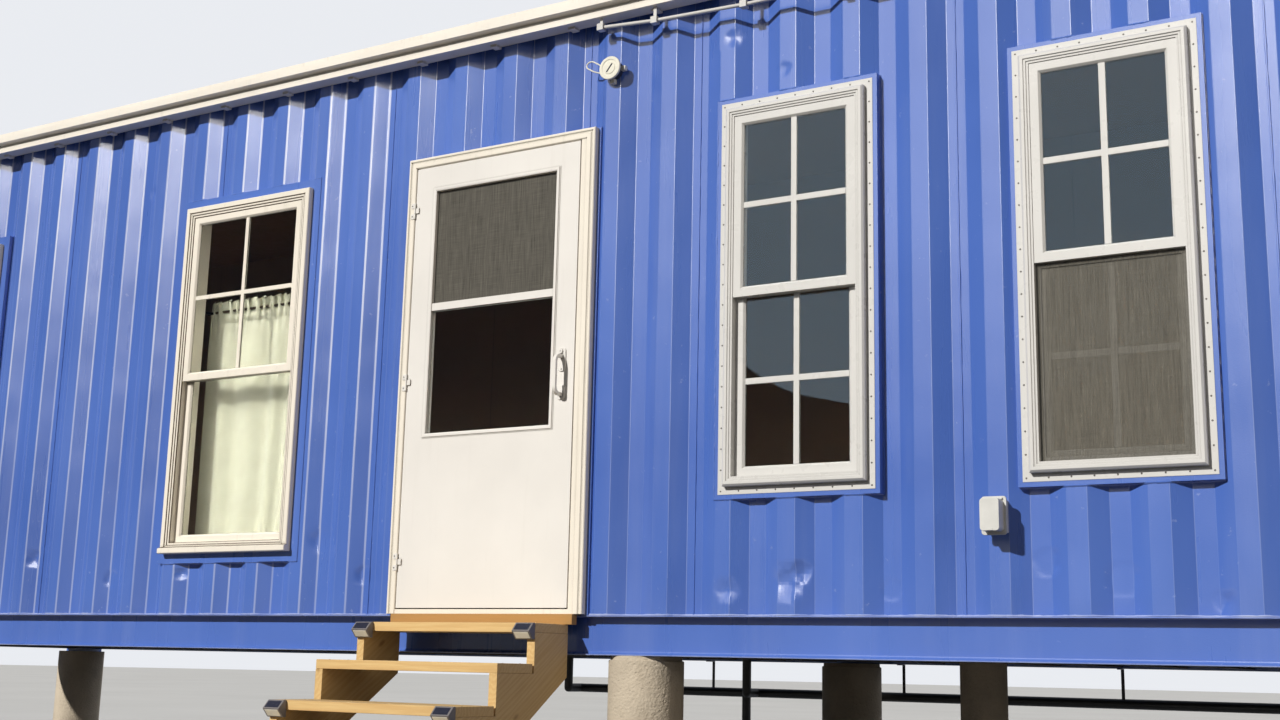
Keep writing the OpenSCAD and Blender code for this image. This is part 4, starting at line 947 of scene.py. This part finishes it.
class CABIN_OT_sheets(Operator):
    """Makes the corrugated walls and the roof with round bends, dents and welds"""

    bl_idname = "cabin.sheets"
    bl_label = "Corrugated sheets"

    def execute(self, context):
        sizes = context.scene.cabin_sheets
        windows = parts_of("window_surrounds")
        sides = [corner.x for box in windows for corner in box]
        for node, name in (("front_wall_left", "wall_skin_left"),
                           ("front_wall_over_door", "wall_skin_over_door"),
                           ("front_wall_right", "wall_skin_right")):
            low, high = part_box(node)
            outer = node != "front_wall_over_door"
            dents = [d for d in DENTS if outer and low.x < d[0] < high.x]
            sheet_skin(node, name, sizes, dents, sides if outer else ())
        for node, name in (("back_wall", "wall_skin_back"), ("end_wall", "wall_skin_end"),
                           ("roof_panel", "roof_skin")):
            sheet_skin(node, name, sizes)
        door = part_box("door_surround")
        beads("wall_seams", seam_paths([*windows, door]), sizes.seam / 2, "bars")
        paths = surround_paths(*door, sizes.weld_step, foot=False)
        for low, high in windows:
            paths += surround_paths(low, high, sizes.weld_step)
        beads("surround_welds", paths, sizes.weld / 2, "bars")
        self.make_foot_weld(sizes)
        return {"FINISHED"}

    def make_foot_weld(self, sizes):
        """Weld along the wavy foot of the front wall, pale partly from worn paint and partly from
        painted highlight.
        """
        height = FOOT_Z + sizes.weld / 3
        paths = []
        for node in ("front_wall_left", "front_wall_right"):
            ends = [Vector((corner.x, 0, 0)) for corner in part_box(node)]
            paths.append([on_wall(point.x, height) for point in along(*ends, sizes.weld_step)])
        weld = beads("foot_weld", paths, sizes.weld / 2, "bars")
        # The weld's pale paint is partly painted highlight
        worn_and_lit = weld.data.attributes.new(WEAR_AND_HIGHLIGHT, "FLOAT", "POINT")
        worn_and_lit.data.foreach_set("value", [sizes.wear_and_highlight / 2] * len(weld.data.vertices))


class CABIN_OT_steel_frame(Operator):
    """Rounds the castings, posts and rails, and coats the floor's cross members"""

    bl_idname = "cabin.steel_frame"
    bl_label = "Steel frame"

    def execute(self, context):
        sizes = context.scene.cabin_sheets
        edge = sizes.bar_edge
        eased_copy("corner_castings", "castings_cast", "bars", edge)
        eased_copy("corner_posts", "posts_pressed", "bars", 2 * edge / 3)
        bm = node_form("bottom_rails")
        mark_wear_and_highlight(bm, set(ease_edges(bm, edge)), lambda point: sizes.rail_wear)
        finish_piece(bm, "rails_rolled", "bars", "bottom_rails")
        eased_copy("top_rails", "top_rails_rolled", "bars", edge / 2)
        eased_copy("window_surrounds", "window_bars_welded", "bars", edge / 2)
        eased_copy("door_surround", "door_bars_welded", "bars", edge / 2)
        eased_copy("cross_members", "members_pressed", "underside", edge / 3, steps=1)
        repaint("ply", "floor_deck")
        return {"FINISHED"}


class CABIN_OT_cargo_doors(Operator):
    """Makes the cargo doors, their seals and their lock rods"""

    bl_idname = "cabin.cargo_doors"
    bl_label = "Cargo doors"

    # Width and thickness of a seal, how deep it lies in its gap, and its rounding
    seal_width, seal_depth, seal_sunk, seal_edge = 0.006, 0.012, 0.012, 0.001

    def execute(self, context):
        edge = context.scene.cabin_sheets.bar_edge
        eased_copy("cargo_doors", "cargo_leaves", "bars", edge)
        eased_copy("lock_rods", "lock_gear", "zinc", edge / 2)
        self.make_seals()
        return {"FINISHED"}

    def make_seals(self):
        """Rubber strips in the gaps round the two leaves."""
        low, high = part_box("cargo_doors")
        width = self.seal_width
        face = high.x - self.seal_sunk
        back = face - self.seal_depth
        bm = bmesh.new()
        for y in (low.y - width, (low.y + high.y) / 2 - width / 3, high.y - width / 3):
            block(bm, (back, y, low.z), (face, y + width, high.z), self.seal_edge)
        for z in (low.z - width, high.z):
            block(bm, (back, low.y, z), (face, high.y, z + width), self.seal_edge)
        finish_piece(bm, "cargo_seals", "rubber")


class CABIN_OT_eaves(Operator):
    """Paints the fascia and the gutter"""

    bl_idname = "cabin.eaves"
    bl_label = "Gutter and fascia"

    def execute(self, context):
        repaint("fascia", "fascia_board")
        finish_piece(node_form("gutter"), "gutter_run", "gutter", "gutter", sharp=math.radians(32))
        return {"FINISHED"}


class CABIN_OT_storm_door(Operator):
    """Makes the storm door, its casing, hinges, handle and sweep"""

    bl_idname = "cabin.storm_door"
    bl_label = "Storm door"

    # Only the casing's grooves that stand further out of the wall's flats than this are caulked
    groove_out = 0.012
    # The sweep's half thickness, its reach below the leaf, and its rounding
    sweep_half, sweep_reach, sweep_edge = 0.006, 0.0035, 0.001
    # How far the leaf stands out of the wall's flats, and the lock's cylinder and plates out of it
    leaf_out, cylinder_out, plate_out = 0.028, 0.012, 0.006
    # The key slot: its place from the middle and top of the handle, half its size, its rounding
    key_place = Vector((-0.00475, 0, -0.0145))
    key_half, key_edge = Vector((0.0012, 0, 0.005)), 0.0003
    # Front and back of the slot's dark inside, from the cylinder's face
    key_front, key_back = Vector((0, -0.0004, 0)), Vector((0, 0.002, 0))
    # The handle's screws, below its top and above its foot
    upper_screw, lower_screw = 0.092, 0.008
    # The hinges' screws, from the left and the front of a hinge
    hinge_screw = Vector((0.007, 0.0045, 0))

    def execute(self, context):
        sizes = context.scene.cabin_door
        eased_copy("door_leaf", "leaf_panel", "door", edge=0.0014, body="storm_door")
        eased_copy("door_casing", "casing_boards", "cream", edge=0.0012)
        eased_copy("door_hinges", "hinge_plates", "door", edge=0.0008)
        eased_copy("door_handle", "pull_handle", "door", edge=0.002, body="storm_door", steps=3)
        eased_copy("door_sill_board", "sill_board", "shaded_sill_wood", edge=0.003)
        repaint("glass", "door_glass")
        repaint("door_screen", "door_screen")
        grooves = inner_corners("door_casing", FLAT_Y - self.groove_out)
        beads("casing_caulk", grooves, sizes.caulk, "caulk")
        self.make_sweep()
        self.make_lock(sizes)
        self.make_hinge_screws(sizes)
        return {"FINISHED"}

    def make_sweep(self):
        """Rubber strip along the foot of the leaf."""
        low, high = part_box("door_leaf")
        middle = sum(corner.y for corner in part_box("door_glass")) / 2
        inset = (high.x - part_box("door_handle")[1].x) / 3
        bm = bmesh.new()
        block(bm, (low.x + inset, middle - self.sweep_half, low.z - self.sweep_reach),
              (high.x - inset, middle + self.sweep_half, low.z), self.sweep_edge)
        finish_piece(bm, "door_sweep", "rubber", body="storm_door")

    def make_lock(self, sizes):
        """Key slot on the handle's cylinder, and a screw on each plate."""
        low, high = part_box("door_handle")
        centre = (low.x + high.x) / 2
        face = FLAT_Y - self.leaf_out
        key = Vector((centre, face - self.cylinder_out, high.z)) + self.key_place
        bm = bmesh.new()
        block(bm, key - self.key_half + self.key_front, key + self.key_half + self.key_back,
              self.key_edge)
        finish_piece(bm, "key_slot", "rubber", body="storm_door")
        bm = bmesh.new()
        for z in (high.z - self.upper_screw, low.z + self.lower_screw):
            screw(bm, Vector((centre, face - self.plate_out, z)), sizes.screw, sizes.screw_head)
        finish_piece(bm, "handle_screws", "nickel", body="storm_door")

    def make_hinge_screws(self, sizes):
        bm = bmesh.new()
        for low, high in parts_of("door_hinges"):
            point = Vector((low.x, low.y, (low.z + high.z) / 2)) + self.hinge_screw
            screw(bm, point, sizes.screw, sizes.screw_head, segments=12, sunk=0.0)
        finish_piece(bm, "hinge_screws", "nickel")


class CABIN_OT_windows(Operator):
    """Makes the hung sash windows with their frames, glazing bars and screws"""

    bl_idname = "cabin.windows"
    bl_label = "Windows"

    # Rounding of the bars, and how much thinner a level bar is than the upright one on each face
    bar_edge, bar_lap = 0.0012, 0.0003
    # Only the left frames' grooves that stand further out of the wall's flats than this get a dark
    # bead, partly painted shadow in the gap
    groove_out = 0.012
    # How far the nailing fin stands out of its surround, and the screws' place across it
    fin_out, fin_share = 0.002, 0.45

    def execute(self, context):
        sizes = context.scene.cabin_windows
        eased_copy("left_window_frames", "left_frames_wood", "cream", edge=0.0015)
        eased_copy("left_window_sashes", "left_sashes_wood", "cream", edge=0.0015)
        eased_copy("right_window_frames", "right_frames_vinyl", "vinyl", edge=0.0008)
        eased_copy("right_window_sashes", "right_sashes_vinyl", "vinyl", edge=0.001)
        left = parts_of("left_window_glass")
        self.make_bars("left_glazing_bars", "cream", left[1::2], sizes.bar / 2, sizes.bar_depth)
        right = parts_of("right_window_glass")
        self.make_bars("right_glazing_bars", "vinyl", right, sizes.wide_bar / 2, sizes.bar_depth)
        self.make_screws(sizes)
        self.make_seals(sizes)
        repaint("glass", "left_window_glass", "right_window_glass")
        repaint("window_screen", "window_screen")
        return {"FINISHED"}

    def make_bars(self, name, finish, panes, half, depth):
        """A cross of bars on both faces of each pane."""
        bm = bmesh.new()
        lap = Vector((0, self.bar_lap, 0))
        for low, high in panes:
            middle = (low + high) / 2
            for front, back in ((low.y - depth, low.y), (high.y, high.y + depth)):
                block(bm, (middle.x - half, front, low.z), (middle.x + half, back, high.z),
                      self.bar_edge)
                block(bm, Vector((low.x, front, middle.z - half)) + lap,
                      Vector((high.x, back, middle.z + half)) - lap, self.bar_edge)
        finish_piece(bm, name, finish)

    def make_seals(self, sizes):
        """Dark beads between the left sashes and their frames, and in the frames' steps: partly
        weather strip, partly painted shadow in the gaps.
        """
        paths = inner_corners("left_window_frames", FLAT_Y - self.groove_out)
        for low, high in parts_of("left_window_sashes"):
            paths += sides_of(low, high, low.y)
        beads("sash_seals_and_gap_shadows", paths, sizes.seal_and_gap_shadow, "caulk")

    def make_screws(self, sizes):
        """Screws along the nailing fins of the right windows."""
        bm = bmesh.new()
        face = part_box("window_surrounds")[0].y - self.fin_out
        for low, high in parts_of("right_window_frames"):
            for start, end in sides_of(low, high, face, sizes.fin * self.fin_share):
                for point in along(start, end, sizes.screw_pitch)[:-1]:
                    screw(bm, point, sizes.screw, sizes.screw / 4, segments=10)
        finish_piece(bm, "fin_screws", "screw")


class CABIN_OT_curtain(Operator):
    """Hangs the cotton curtain and its rod behind the middle left window"""

    bl_idname = "cabin.curtain"
    bl_label = "Curtain"

    columns, rows = 260, 90
    # Depth of the waves on the rod, of the ruffle's beyond them, and of the folds below
    gather, ruffle, broad = 0.006, 0.012, 0.0125
    # Gathers and folds for each fold that is asked for
    gather_rate, fold_rate = 1.9, 0.55
    # Below this drop the cloth hangs in folds only
    gathered_drop = 0.2
    # How far the cloth stands off the rod, and the height of that bulge
    rod_bulge, bulge_height = 0.007, 0.012
    # How far each side of the curtain is drawn in at its foot, and the drop to there
    drawn_in, drawn_drop = 0.006, 1.2
    # Sway, dip and unevenness of the ruffle's upper edge
    top_sway, top_dip, top_rough = 0.006, 0.012, 0.008
    # The rod's end caps: share of its radius and place along it
    cap = ((0, 0), (1.4, 0.001), (1.7, 0.006), (1.4, 0.012), (0, 0.014))
    # The rod's brackets: place from its end, half width, reach below and above, and rounding
    bracket_in, bracket_half, bracket_below, bracket_above, bracket_edge = (
        0.02, 0.005, 0.007, 0.003, 0.001)

    def execute(self, context):
        sizes = context.scene.cabin_curtain
        low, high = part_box("curtain")
        rod_y, rod_z = low.y + sizes.rod_out, high.z - sizes.header
        cloth = self.make_cloth(sizes, low, high, rod_y, rod_z)
        rod = self.make_rod(sizes, low, high, rod_y, rod_z)
        return {"FINISHED"}

    def folds(self, u, drop, sizes):
        """How far the cloth below the rod lies from its middle: gathers first, then broad folds."""
        loose = min(1.0, max(0.0, drop / self.gathered_drop))
        drift = 0.3 * noise.noise(Vector((3.1 * u, 0.5 * drop, 7.7))) + 0.12 * math.sin(9 * u)
        broad = math.sin(2 * math.pi * (self.fold_rate * sizes.folds * u + drift))
        swell = 0.7 + 0.3 * noise.noise(Vector((2.3 * u, 0.9 * drop, 1.3)))
        gathers = self.gather * (1 - loose) ** 2 * self.gathers(u, sizes)
        return self.broad * loose * broad * swell + gathers

    def gathers(self, u, sizes):
        """The small waves of the cloth on the rod, from -1 to 1."""
        drift = 0.7 * noise.noise(Vector((7 * u, 1, 0)))
        return math.sin(2 * math.pi * (self.gather_rate * sizes.folds * u + drift))

    def make_cloth(self, sizes, low, high, rod_y, rod_z):
        left = (low.x + high.x) / 2 - sizes.width / 2
        bm = bmesh.new()
        bmesh.ops.create_grid(bm, x_segments=self.columns, y_segments=self.rows, size=0.5)
        for vert in bm.verts:
            u = vert.co.x + 0.5
            z = low.z + (vert.co.y + 0.5) * (high.z - low.z)
            drop = rod_z - z
            sway = 0.0
            if drop < 0:
                up = -drop / sizes.header
                wave_here = self.gathers(u, sizes)
                depth = (self.gather + self.ruffle * up) * wave_here
                turn = 2 * math.pi * 2 * self.gather_rate * sizes.folds * u
                sway = self.top_sway * up * math.cos(turn)
                z += self.top_dip * up * (wave_here - 1)
                z += self.top_rough * up * noise.noise(Vector((22 * u, 0, 3)))
            else:
                depth = self.folds(u, drop, sizes)
            pinch = self.rod_bulge * math.exp(-((drop / self.bulge_height) ** 2))
            inward = min(1.0, max(0.0, drop / self.drawn_drop)) * 2 * self.drawn_in * (0.5 - u)
            y = rod_y + depth + (-pinch if depth < 0 else pinch)
            vert.co = (left + u * sizes.width + inward + sway, y, z)
        return finish_piece(bm, "curtain_cloth", "cloth", "curtain", sharp=math.pi)

    def cut_width(self, cloth):
        """Width of the cloth laid flat, from its area and its height."""
        heights = [vert.co.z for vert in cloth.data.vertices]
        return sum(f.area for f in cloth.data.polygons) / (max(heights) - min(heights))

    def make_rod(self, sizes, low, high, rod_y, rod_z):
        bm = bmesh.new()
        radius = sizes.rod / 2
        bar(bm, (low.x, rod_y, rod_z), (high.x, rod_y, rod_z), radius, radius, segments=20)
        cap = [(part * radius, height) for part, height in self.cap]
        for x, way in ((low.x, 1), (high.x, -1)):
            lathe(bm, cap, Vector((x, rod_y, rod_z)), Vector((way, 0, 0)))
            middle = x + way * self.bracket_in
            block(bm, (middle - self.bracket_half, low.y, rod_z - self.bracket_below),
                  (middle + self.bracket_half, rod_y, rod_z + self.bracket_above),
                  self.bracket_edge)
        return finish_piece(bm, "curtain_rod", "dark_metal")


class CABIN_OT_fittings(Operator):
    """Makes the eaves box, the outlet, the conduit and the drain pipe"""

    bl_idname = "cabin.fittings"
    bl_label = "Fittings"

    # The eaves box: radius of its face, and the drum behind it as radius and distance from the wall
    face_radius = 0.0525
    drum = ((0.043, 0.001), (0.0435, 0.034), (0.046, 0.035), (0.046, 0.0375), (0.0405, 0.0378))
    # The slot of its face: size, turn, how far its middle lies behind the face, and rounding
    slot_size, slot_turn = (0.007, 0.004, 0.046), math.radians(38)
    slot_sunk, slot_edge = 0.0012, 0.0012
    # The bent wire beside it: its points along the wall and up, its distances from the wall, radius
    bail = ((-0.043, 0.012), (-0.075, 0.038), (-0.112, 0.052), (-0.128, 0.036), (-0.104, 0.012),
            (-0.07, -0.004), (-0.044, -0.01))
    bail_out, bail_bow, bail_radius = 0.024, 0.006, 0.0032
    # The outlet's hinges: distance from its middle, half length, drop from its top, radius
    hinge_x, hinge_half, hinge_drop, hinge_radius = 0.024, 0.009, 0.0095, 0.004
    # Depth of the outlet's bubble cover over its plate
    cover_depth = 0.052
    # The outlet's latch: half width, depths from the cover's face, heights over its foot, rounding
    latch_half, latch_y, latch_z, latch_edge = 0.011, (-0.0015, 0.006), (0.012, 0.02), 0.001

    def execute(self, context):
        eased_copy("eaves_box", "round_box", "face_plastic", edge=0.0015)
        eased_copy("outlet_box", "outlet_shell", "grey_plastic", edge=0.0025, steps=3)
        eased_copy("eaves_conduit", "conduit_run", "vinyl", edge=0.001)
        eased_copy("drain_pipe", "drain_run", "black_pipe", edge=0.001, steps=1)
        self.make_round_box_details()
        self.make_outlet_details()
        return {"FINISHED"}

    def make_round_box_details(self):
        """Dark drum behind the round face, its slot, and a bent wire beside it."""
        low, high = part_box("eaves_box")
        x, z = low.x + self.face_radius, high.z - self.face_radius
        bm = bmesh.new()
        lathe(bm, self.drum, Vector((x, high.y, z)), Vector((0, -1, 0)))
        finish_piece(bm, "round_box_drum", "dark_plastic")
        bm = bmesh.new()
        slab(bm, self.slot_size, (x, low.y + self.slot_sunk, z),
             Matrix.Rotation(self.slot_turn, 3, "Y"))
        ease_edges(bm, self.slot_edge)
        finish_piece(bm, "round_box_slot", "dark_plastic")
        last = len(self.bail) - 1
        tube("round_box_bail", [
            (x + dx, high.y - self.bail_out - self.bail_bow * math.sin(i * math.pi / last), z + dz)
            for i, (dx, dz) in enumerate(self.bail)
        ], self.bail_radius, "face_plastic")

    def make_outlet_details(self):
        """Hinge barrels and latch of the outlet's bubble cover."""
        low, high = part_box("outlet_box")
        middle = (low.x + high.x) / 2
        y, z = low.y + self.cover_depth - self.hinge_radius, high.z - self.hinge_drop
        bm = bmesh.new()
        for x in (middle - self.hinge_x, middle + self.hinge_x):
            bar(bm, (x - self.hinge_half, y, z), (x + self.hinge_half, y, z), self.hinge_radius,
                self.hinge_radius, segments=16)
        block(bm, (middle - self.latch_half, low.y + self.latch_y[0], low.z + self.latch_z[0]),
              (middle + self.latch_half, low.y + self.latch_y[1], low.z + self.latch_z[1]),
              self.latch_edge)
        finish_piece(bm, "outlet_hinges", "grey_plastic")


class CABIN_OT_steps(Operator):
    """Makes the timber steps, their screws and their lights"""

    bl_idname = "cabin.steps"
    bl_label = "Steps"

    # A tread's screws: place from its ends and sides, depth in the wood and above it, radii
    screw_x, screw_y, screw_z, screw_radii = 0.019, 0.06, (-0.001, 0.0008), (0.0045, 0.0036)
    # A light's cell and lens: thickness, share of the housing's width and of the slope, rounding
    face_thick, face_width, face_height, face_edge = 0.0024, 0.8, 0.72, 0.0006

    def execute(self, context):
        eased_copy("step_treads", "tread_boards", "tread_wood", edge=0.003)
        eased_copy("step_stringers", "stringer_boards", "side_wood", edge=0.002)
        eased_copy("step_lights", "light_housings", "cap_grey", edge=0.003)
        self.make_screws()
        self.make_light_faces()
        return {"FINISHED"}

    def make_screws(self):
        """Two screws into each stringer from the top of each tread."""
        bm = bmesh.new()
        for low, high in parts_of("step_treads"):
            for x in (low.x + self.screw_x, high.x - self.screw_x):
                for y in (low.y + self.screw_y, high.y - self.screw_y):
                    foot, top = (Vector((x, y, high.z + z)) for z in self.screw_z)
                    bar(bm, foot, top, *self.screw_radii, segments=12)
        finish_piece(bm, "tread_screws", "screw")

    def make_light_faces(self):
        """A dark cell on the upper slope of each light, and a lens on the lower one."""
        cells, lenses = bmesh.new(), bmesh.new()
        for low, high in parts_of("step_lights"):
            back, middle = high.y - (high.y - low.y) / 3, (low.z + high.z) / 2
            width = self.face_width * (high.x - low.x)
            for bm, start, end in ((cells, (back, high.z), (low.y, middle)),
                                   (lenses, (low.y, middle), (back, low.z))):
                run = Vector(end) - Vector(start)
                y, z = (Vector(start) + Vector(end)) / 2
                turn = Matrix.Rotation(math.atan2(-run.x, run.y), 3, "X")
                slab(bm, (width, self.face_thick, self.face_height * run.length),
                     ((low.x + high.x) / 2, y, z), turn)
        for bm, name, finish in ((cells, "light_cells", "dark_plastic"),
                                 (lenses, "light_lenses", "face_plastic")):
            ease_edges(bm, self.face_edge)
            finish_piece(bm, name, finish)


class CABIN_OT_piers(Operator):
    """Makes the concrete piers"""

    bl_idname = "cabin.piers"
    bl_label = "Piers"

    def execute(self, context):
        eased_copy("piers", "pier_columns", "concrete", edge=0.006)
        return {"FINISHED"}


class CABIN_OT_room(Operator):
    """Finishes the lining and ceiling of the room"""

    bl_idname = "cabin.room"
    bl_label = "Room"

    def execute(self, context):
        repaint("lining", "lining_front_left", "lining_over_door", "lining_front_right",
                "lining_back", "lining_ends", "ceiling")
        return {"FINISHED"}


class CABIN_OT_studio(Operator):
    """Sets the pale floor, the soft light and the camera"""

    bl_idname = "cabin.studio"
    bl_label = "Studio"

    camera_place = Vector((3.2382, -5.9662, 0.6349))
    camera_view = Vector((-0.50334, 0.84168, 0.19552))
    camera_up = Vector((0.08114, -0.17923, 0.98045))
    camera_reach = 300
    floor_reach, floor_sides = 90.0, 96
    # Fill on the front and on the back of the cabin, and the backdrop that the camera sees
    front_fill, back_fill, backdrop = (0.03, 0.04, 0.062), (0.3, 0.32, 0.36), (0.82, 0.84, 0.88)
    # Directions along Y between which the fill goes over from the one to the other
    fill_from, fill_to = -0.25, 0.35

    def execute(self, context):
        values = context.scene.cabin_studio
        self.make_floor(context.scene)
        self.make_lights(values)
        self.make_world(context.scene)
        self.make_camera(context.scene, values)
        context.scene.view_settings.view_transform = "Standard"
        return {"FINISHED"}

    def make_floor(self, scene):
        bm = bmesh.new()
        bmesh.ops.create_circle(bm, cap_ends=True, radius=self.floor_reach,
                                segments=self.floor_sides)
        mesh = bpy.data.meshes.new("studio_floor")
        bm.to_mesh(mesh)
        bm.free()
        mesh.materials.append(floor_coat("Studio floor"))
        floor = bpy.data.objects.new("studio_floor", mesh)
        scene.collection.objects.link(floor)

    def make_lights(self, values):
        """Lamps of a width in degrees; the glows are seen in gloss only, the others not in it."""
        glow = (1.0, 0.96, 0.9)
        for name, power, turn, height, width, tone in (
            ("key", values.sun, values.sun_turn, values.sun_height, 1.5, (1.0, 0.965, 0.905)),
            ("near_glow", values.near_glow, values.near_turn, values.glow_height, 19, glow),
            ("wide_glow", values.wide_glow, values.wide_turn, values.glow_height, 30, glow),
            ("side", values.side, values.side_turn, values.side_height, 40, (1.0, 0.86, 0.68)),
            ("rear", values.rear, values.rear_turn, values.sun_height, 15, (0.93, 0.96, 1.0)),
        ):
            lamp = self.make_lamp(name, turn, height)
            lamp.data.energy = power
            lamp.data.angle = math.radians(width)
            lamp.data.color = tone
            lamp.visible_glossy = tone is glow
            lamp.visible_diffuse = tone is not glow

    def make_lamp(self, name, turn, height):
        """A distant lamp; its turn is counted from the front wall's normal to the left."""
        level = math.cos(height)
        ray = Vector((math.sin(turn) * level, math.cos(turn) * level, -math.sin(height)))
        lamp = bpy.data.objects.new(name, bpy.data.lights.new(name, "SUN"))
        lamp.rotation_euler = ray.to_track_quat("-Z", "Y").to_euler()
        bpy.context.scene.collection.objects.link(lamp)
        return lamp

    def make_world(self, scene):
        """A pale backdrop to look at, and a dim fill for all that isn't seen directly."""
        world = bpy.data.worlds.new("studio")
        world.use_nodes = True
        nodes = Nodes(world.node_tree)
        nodes.tree.nodes.clear()
        where = nodes.add("ShaderNodeTexCoord").outputs["Generated"]
        y = nodes.add("ShaderNodeSeparateXYZ", {"Vector": where}).outputs["Y"]
        behind = nodes.ranged(y, self.fill_from, self.fill_to)
        fill = nodes.mix(behind, self.front_fill, self.back_fill)
        seen = nodes.add("ShaderNodeLightPath").outputs["Is Camera Ray"]
        back = nodes.add("ShaderNodeBackground", {
            "Color": nodes.mix(seen, fill, self.backdrop), "Strength": 1.0,
        })
        nodes.add("ShaderNodeOutputWorld", {"Surface": back.outputs[0]})
        scene.world = world

    def make_camera(self, scene, values):
        data = bpy.data.cameras.new("camera")
        data.lens = values.lens
        data.clip_end = self.camera_reach
        camera = bpy.data.objects.new("camera", data)
        back = -self.camera_view.normalized()
        side = self.camera_up.cross(back).normalized()
        turn = Matrix((side, back.cross(side), back)).transposed()
        camera.matrix_world = Matrix.Translation(self.camera_place) @ turn.to_4x4()
        scene.collection.objects.link(camera)
        scene.camera = camera


OPERATORS = (
    CABIN_OT_studio, CABIN_OT_sheets, CABIN_OT_steel_frame, CABIN_OT_cargo_doors,
    CABIN_OT_eaves, CABIN_OT_storm_door, CABIN_OT_windows, CABIN_OT_curtain,
    CABIN_OT_fittings, CABIN_OT_steps, CABIN_OT_piers, CABIN_OT_room,
)


class VIEW3D_PT_cabin(Panel):
    """The cabin's sizes, colours and pieces"""

    bl_label = "Cabin"
    bl_idname = "VIEW3D_PT_cabin"
    bl_space_type = "VIEW_3D"
    bl_region_type = "UI"
    bl_category = "Cabin"

    def draw(self, context):
        layout = self.layout
        for name, kind in GROUPS.items():
            box = layout.box()
            values = getattr(context.scene, name)
            for field in kind.__annotations__:
                box.prop(values, field)
        for operator in OPERATORS:
            layout.operator(operator.bl_idname)


def register():
    for kind in (*GROUPS.values(), *OPERATORS, VIEW3D_PT_cabin):
        bpy.utils.register_class(kind)
    for name, kind in GROUPS.items():
        setattr(bpy.types.Scene, name, PointerProperty(type=kind))


def unregister():
    for name in GROUPS:
        delattr(bpy.types.Scene, name)
    for kind in reversed((*GROUPS.values(), *OPERATORS, VIEW3D_PT_cabin)):
        bpy.utils.unregister_class(kind)


def main():
    """Makes every piece."""
    register()
    for operator in OPERATORS:
        family, name = operator.bl_idname.split(".")
        getattr(getattr(bpy.ops, family), name)()


if __name__ == "__main__":
    main()
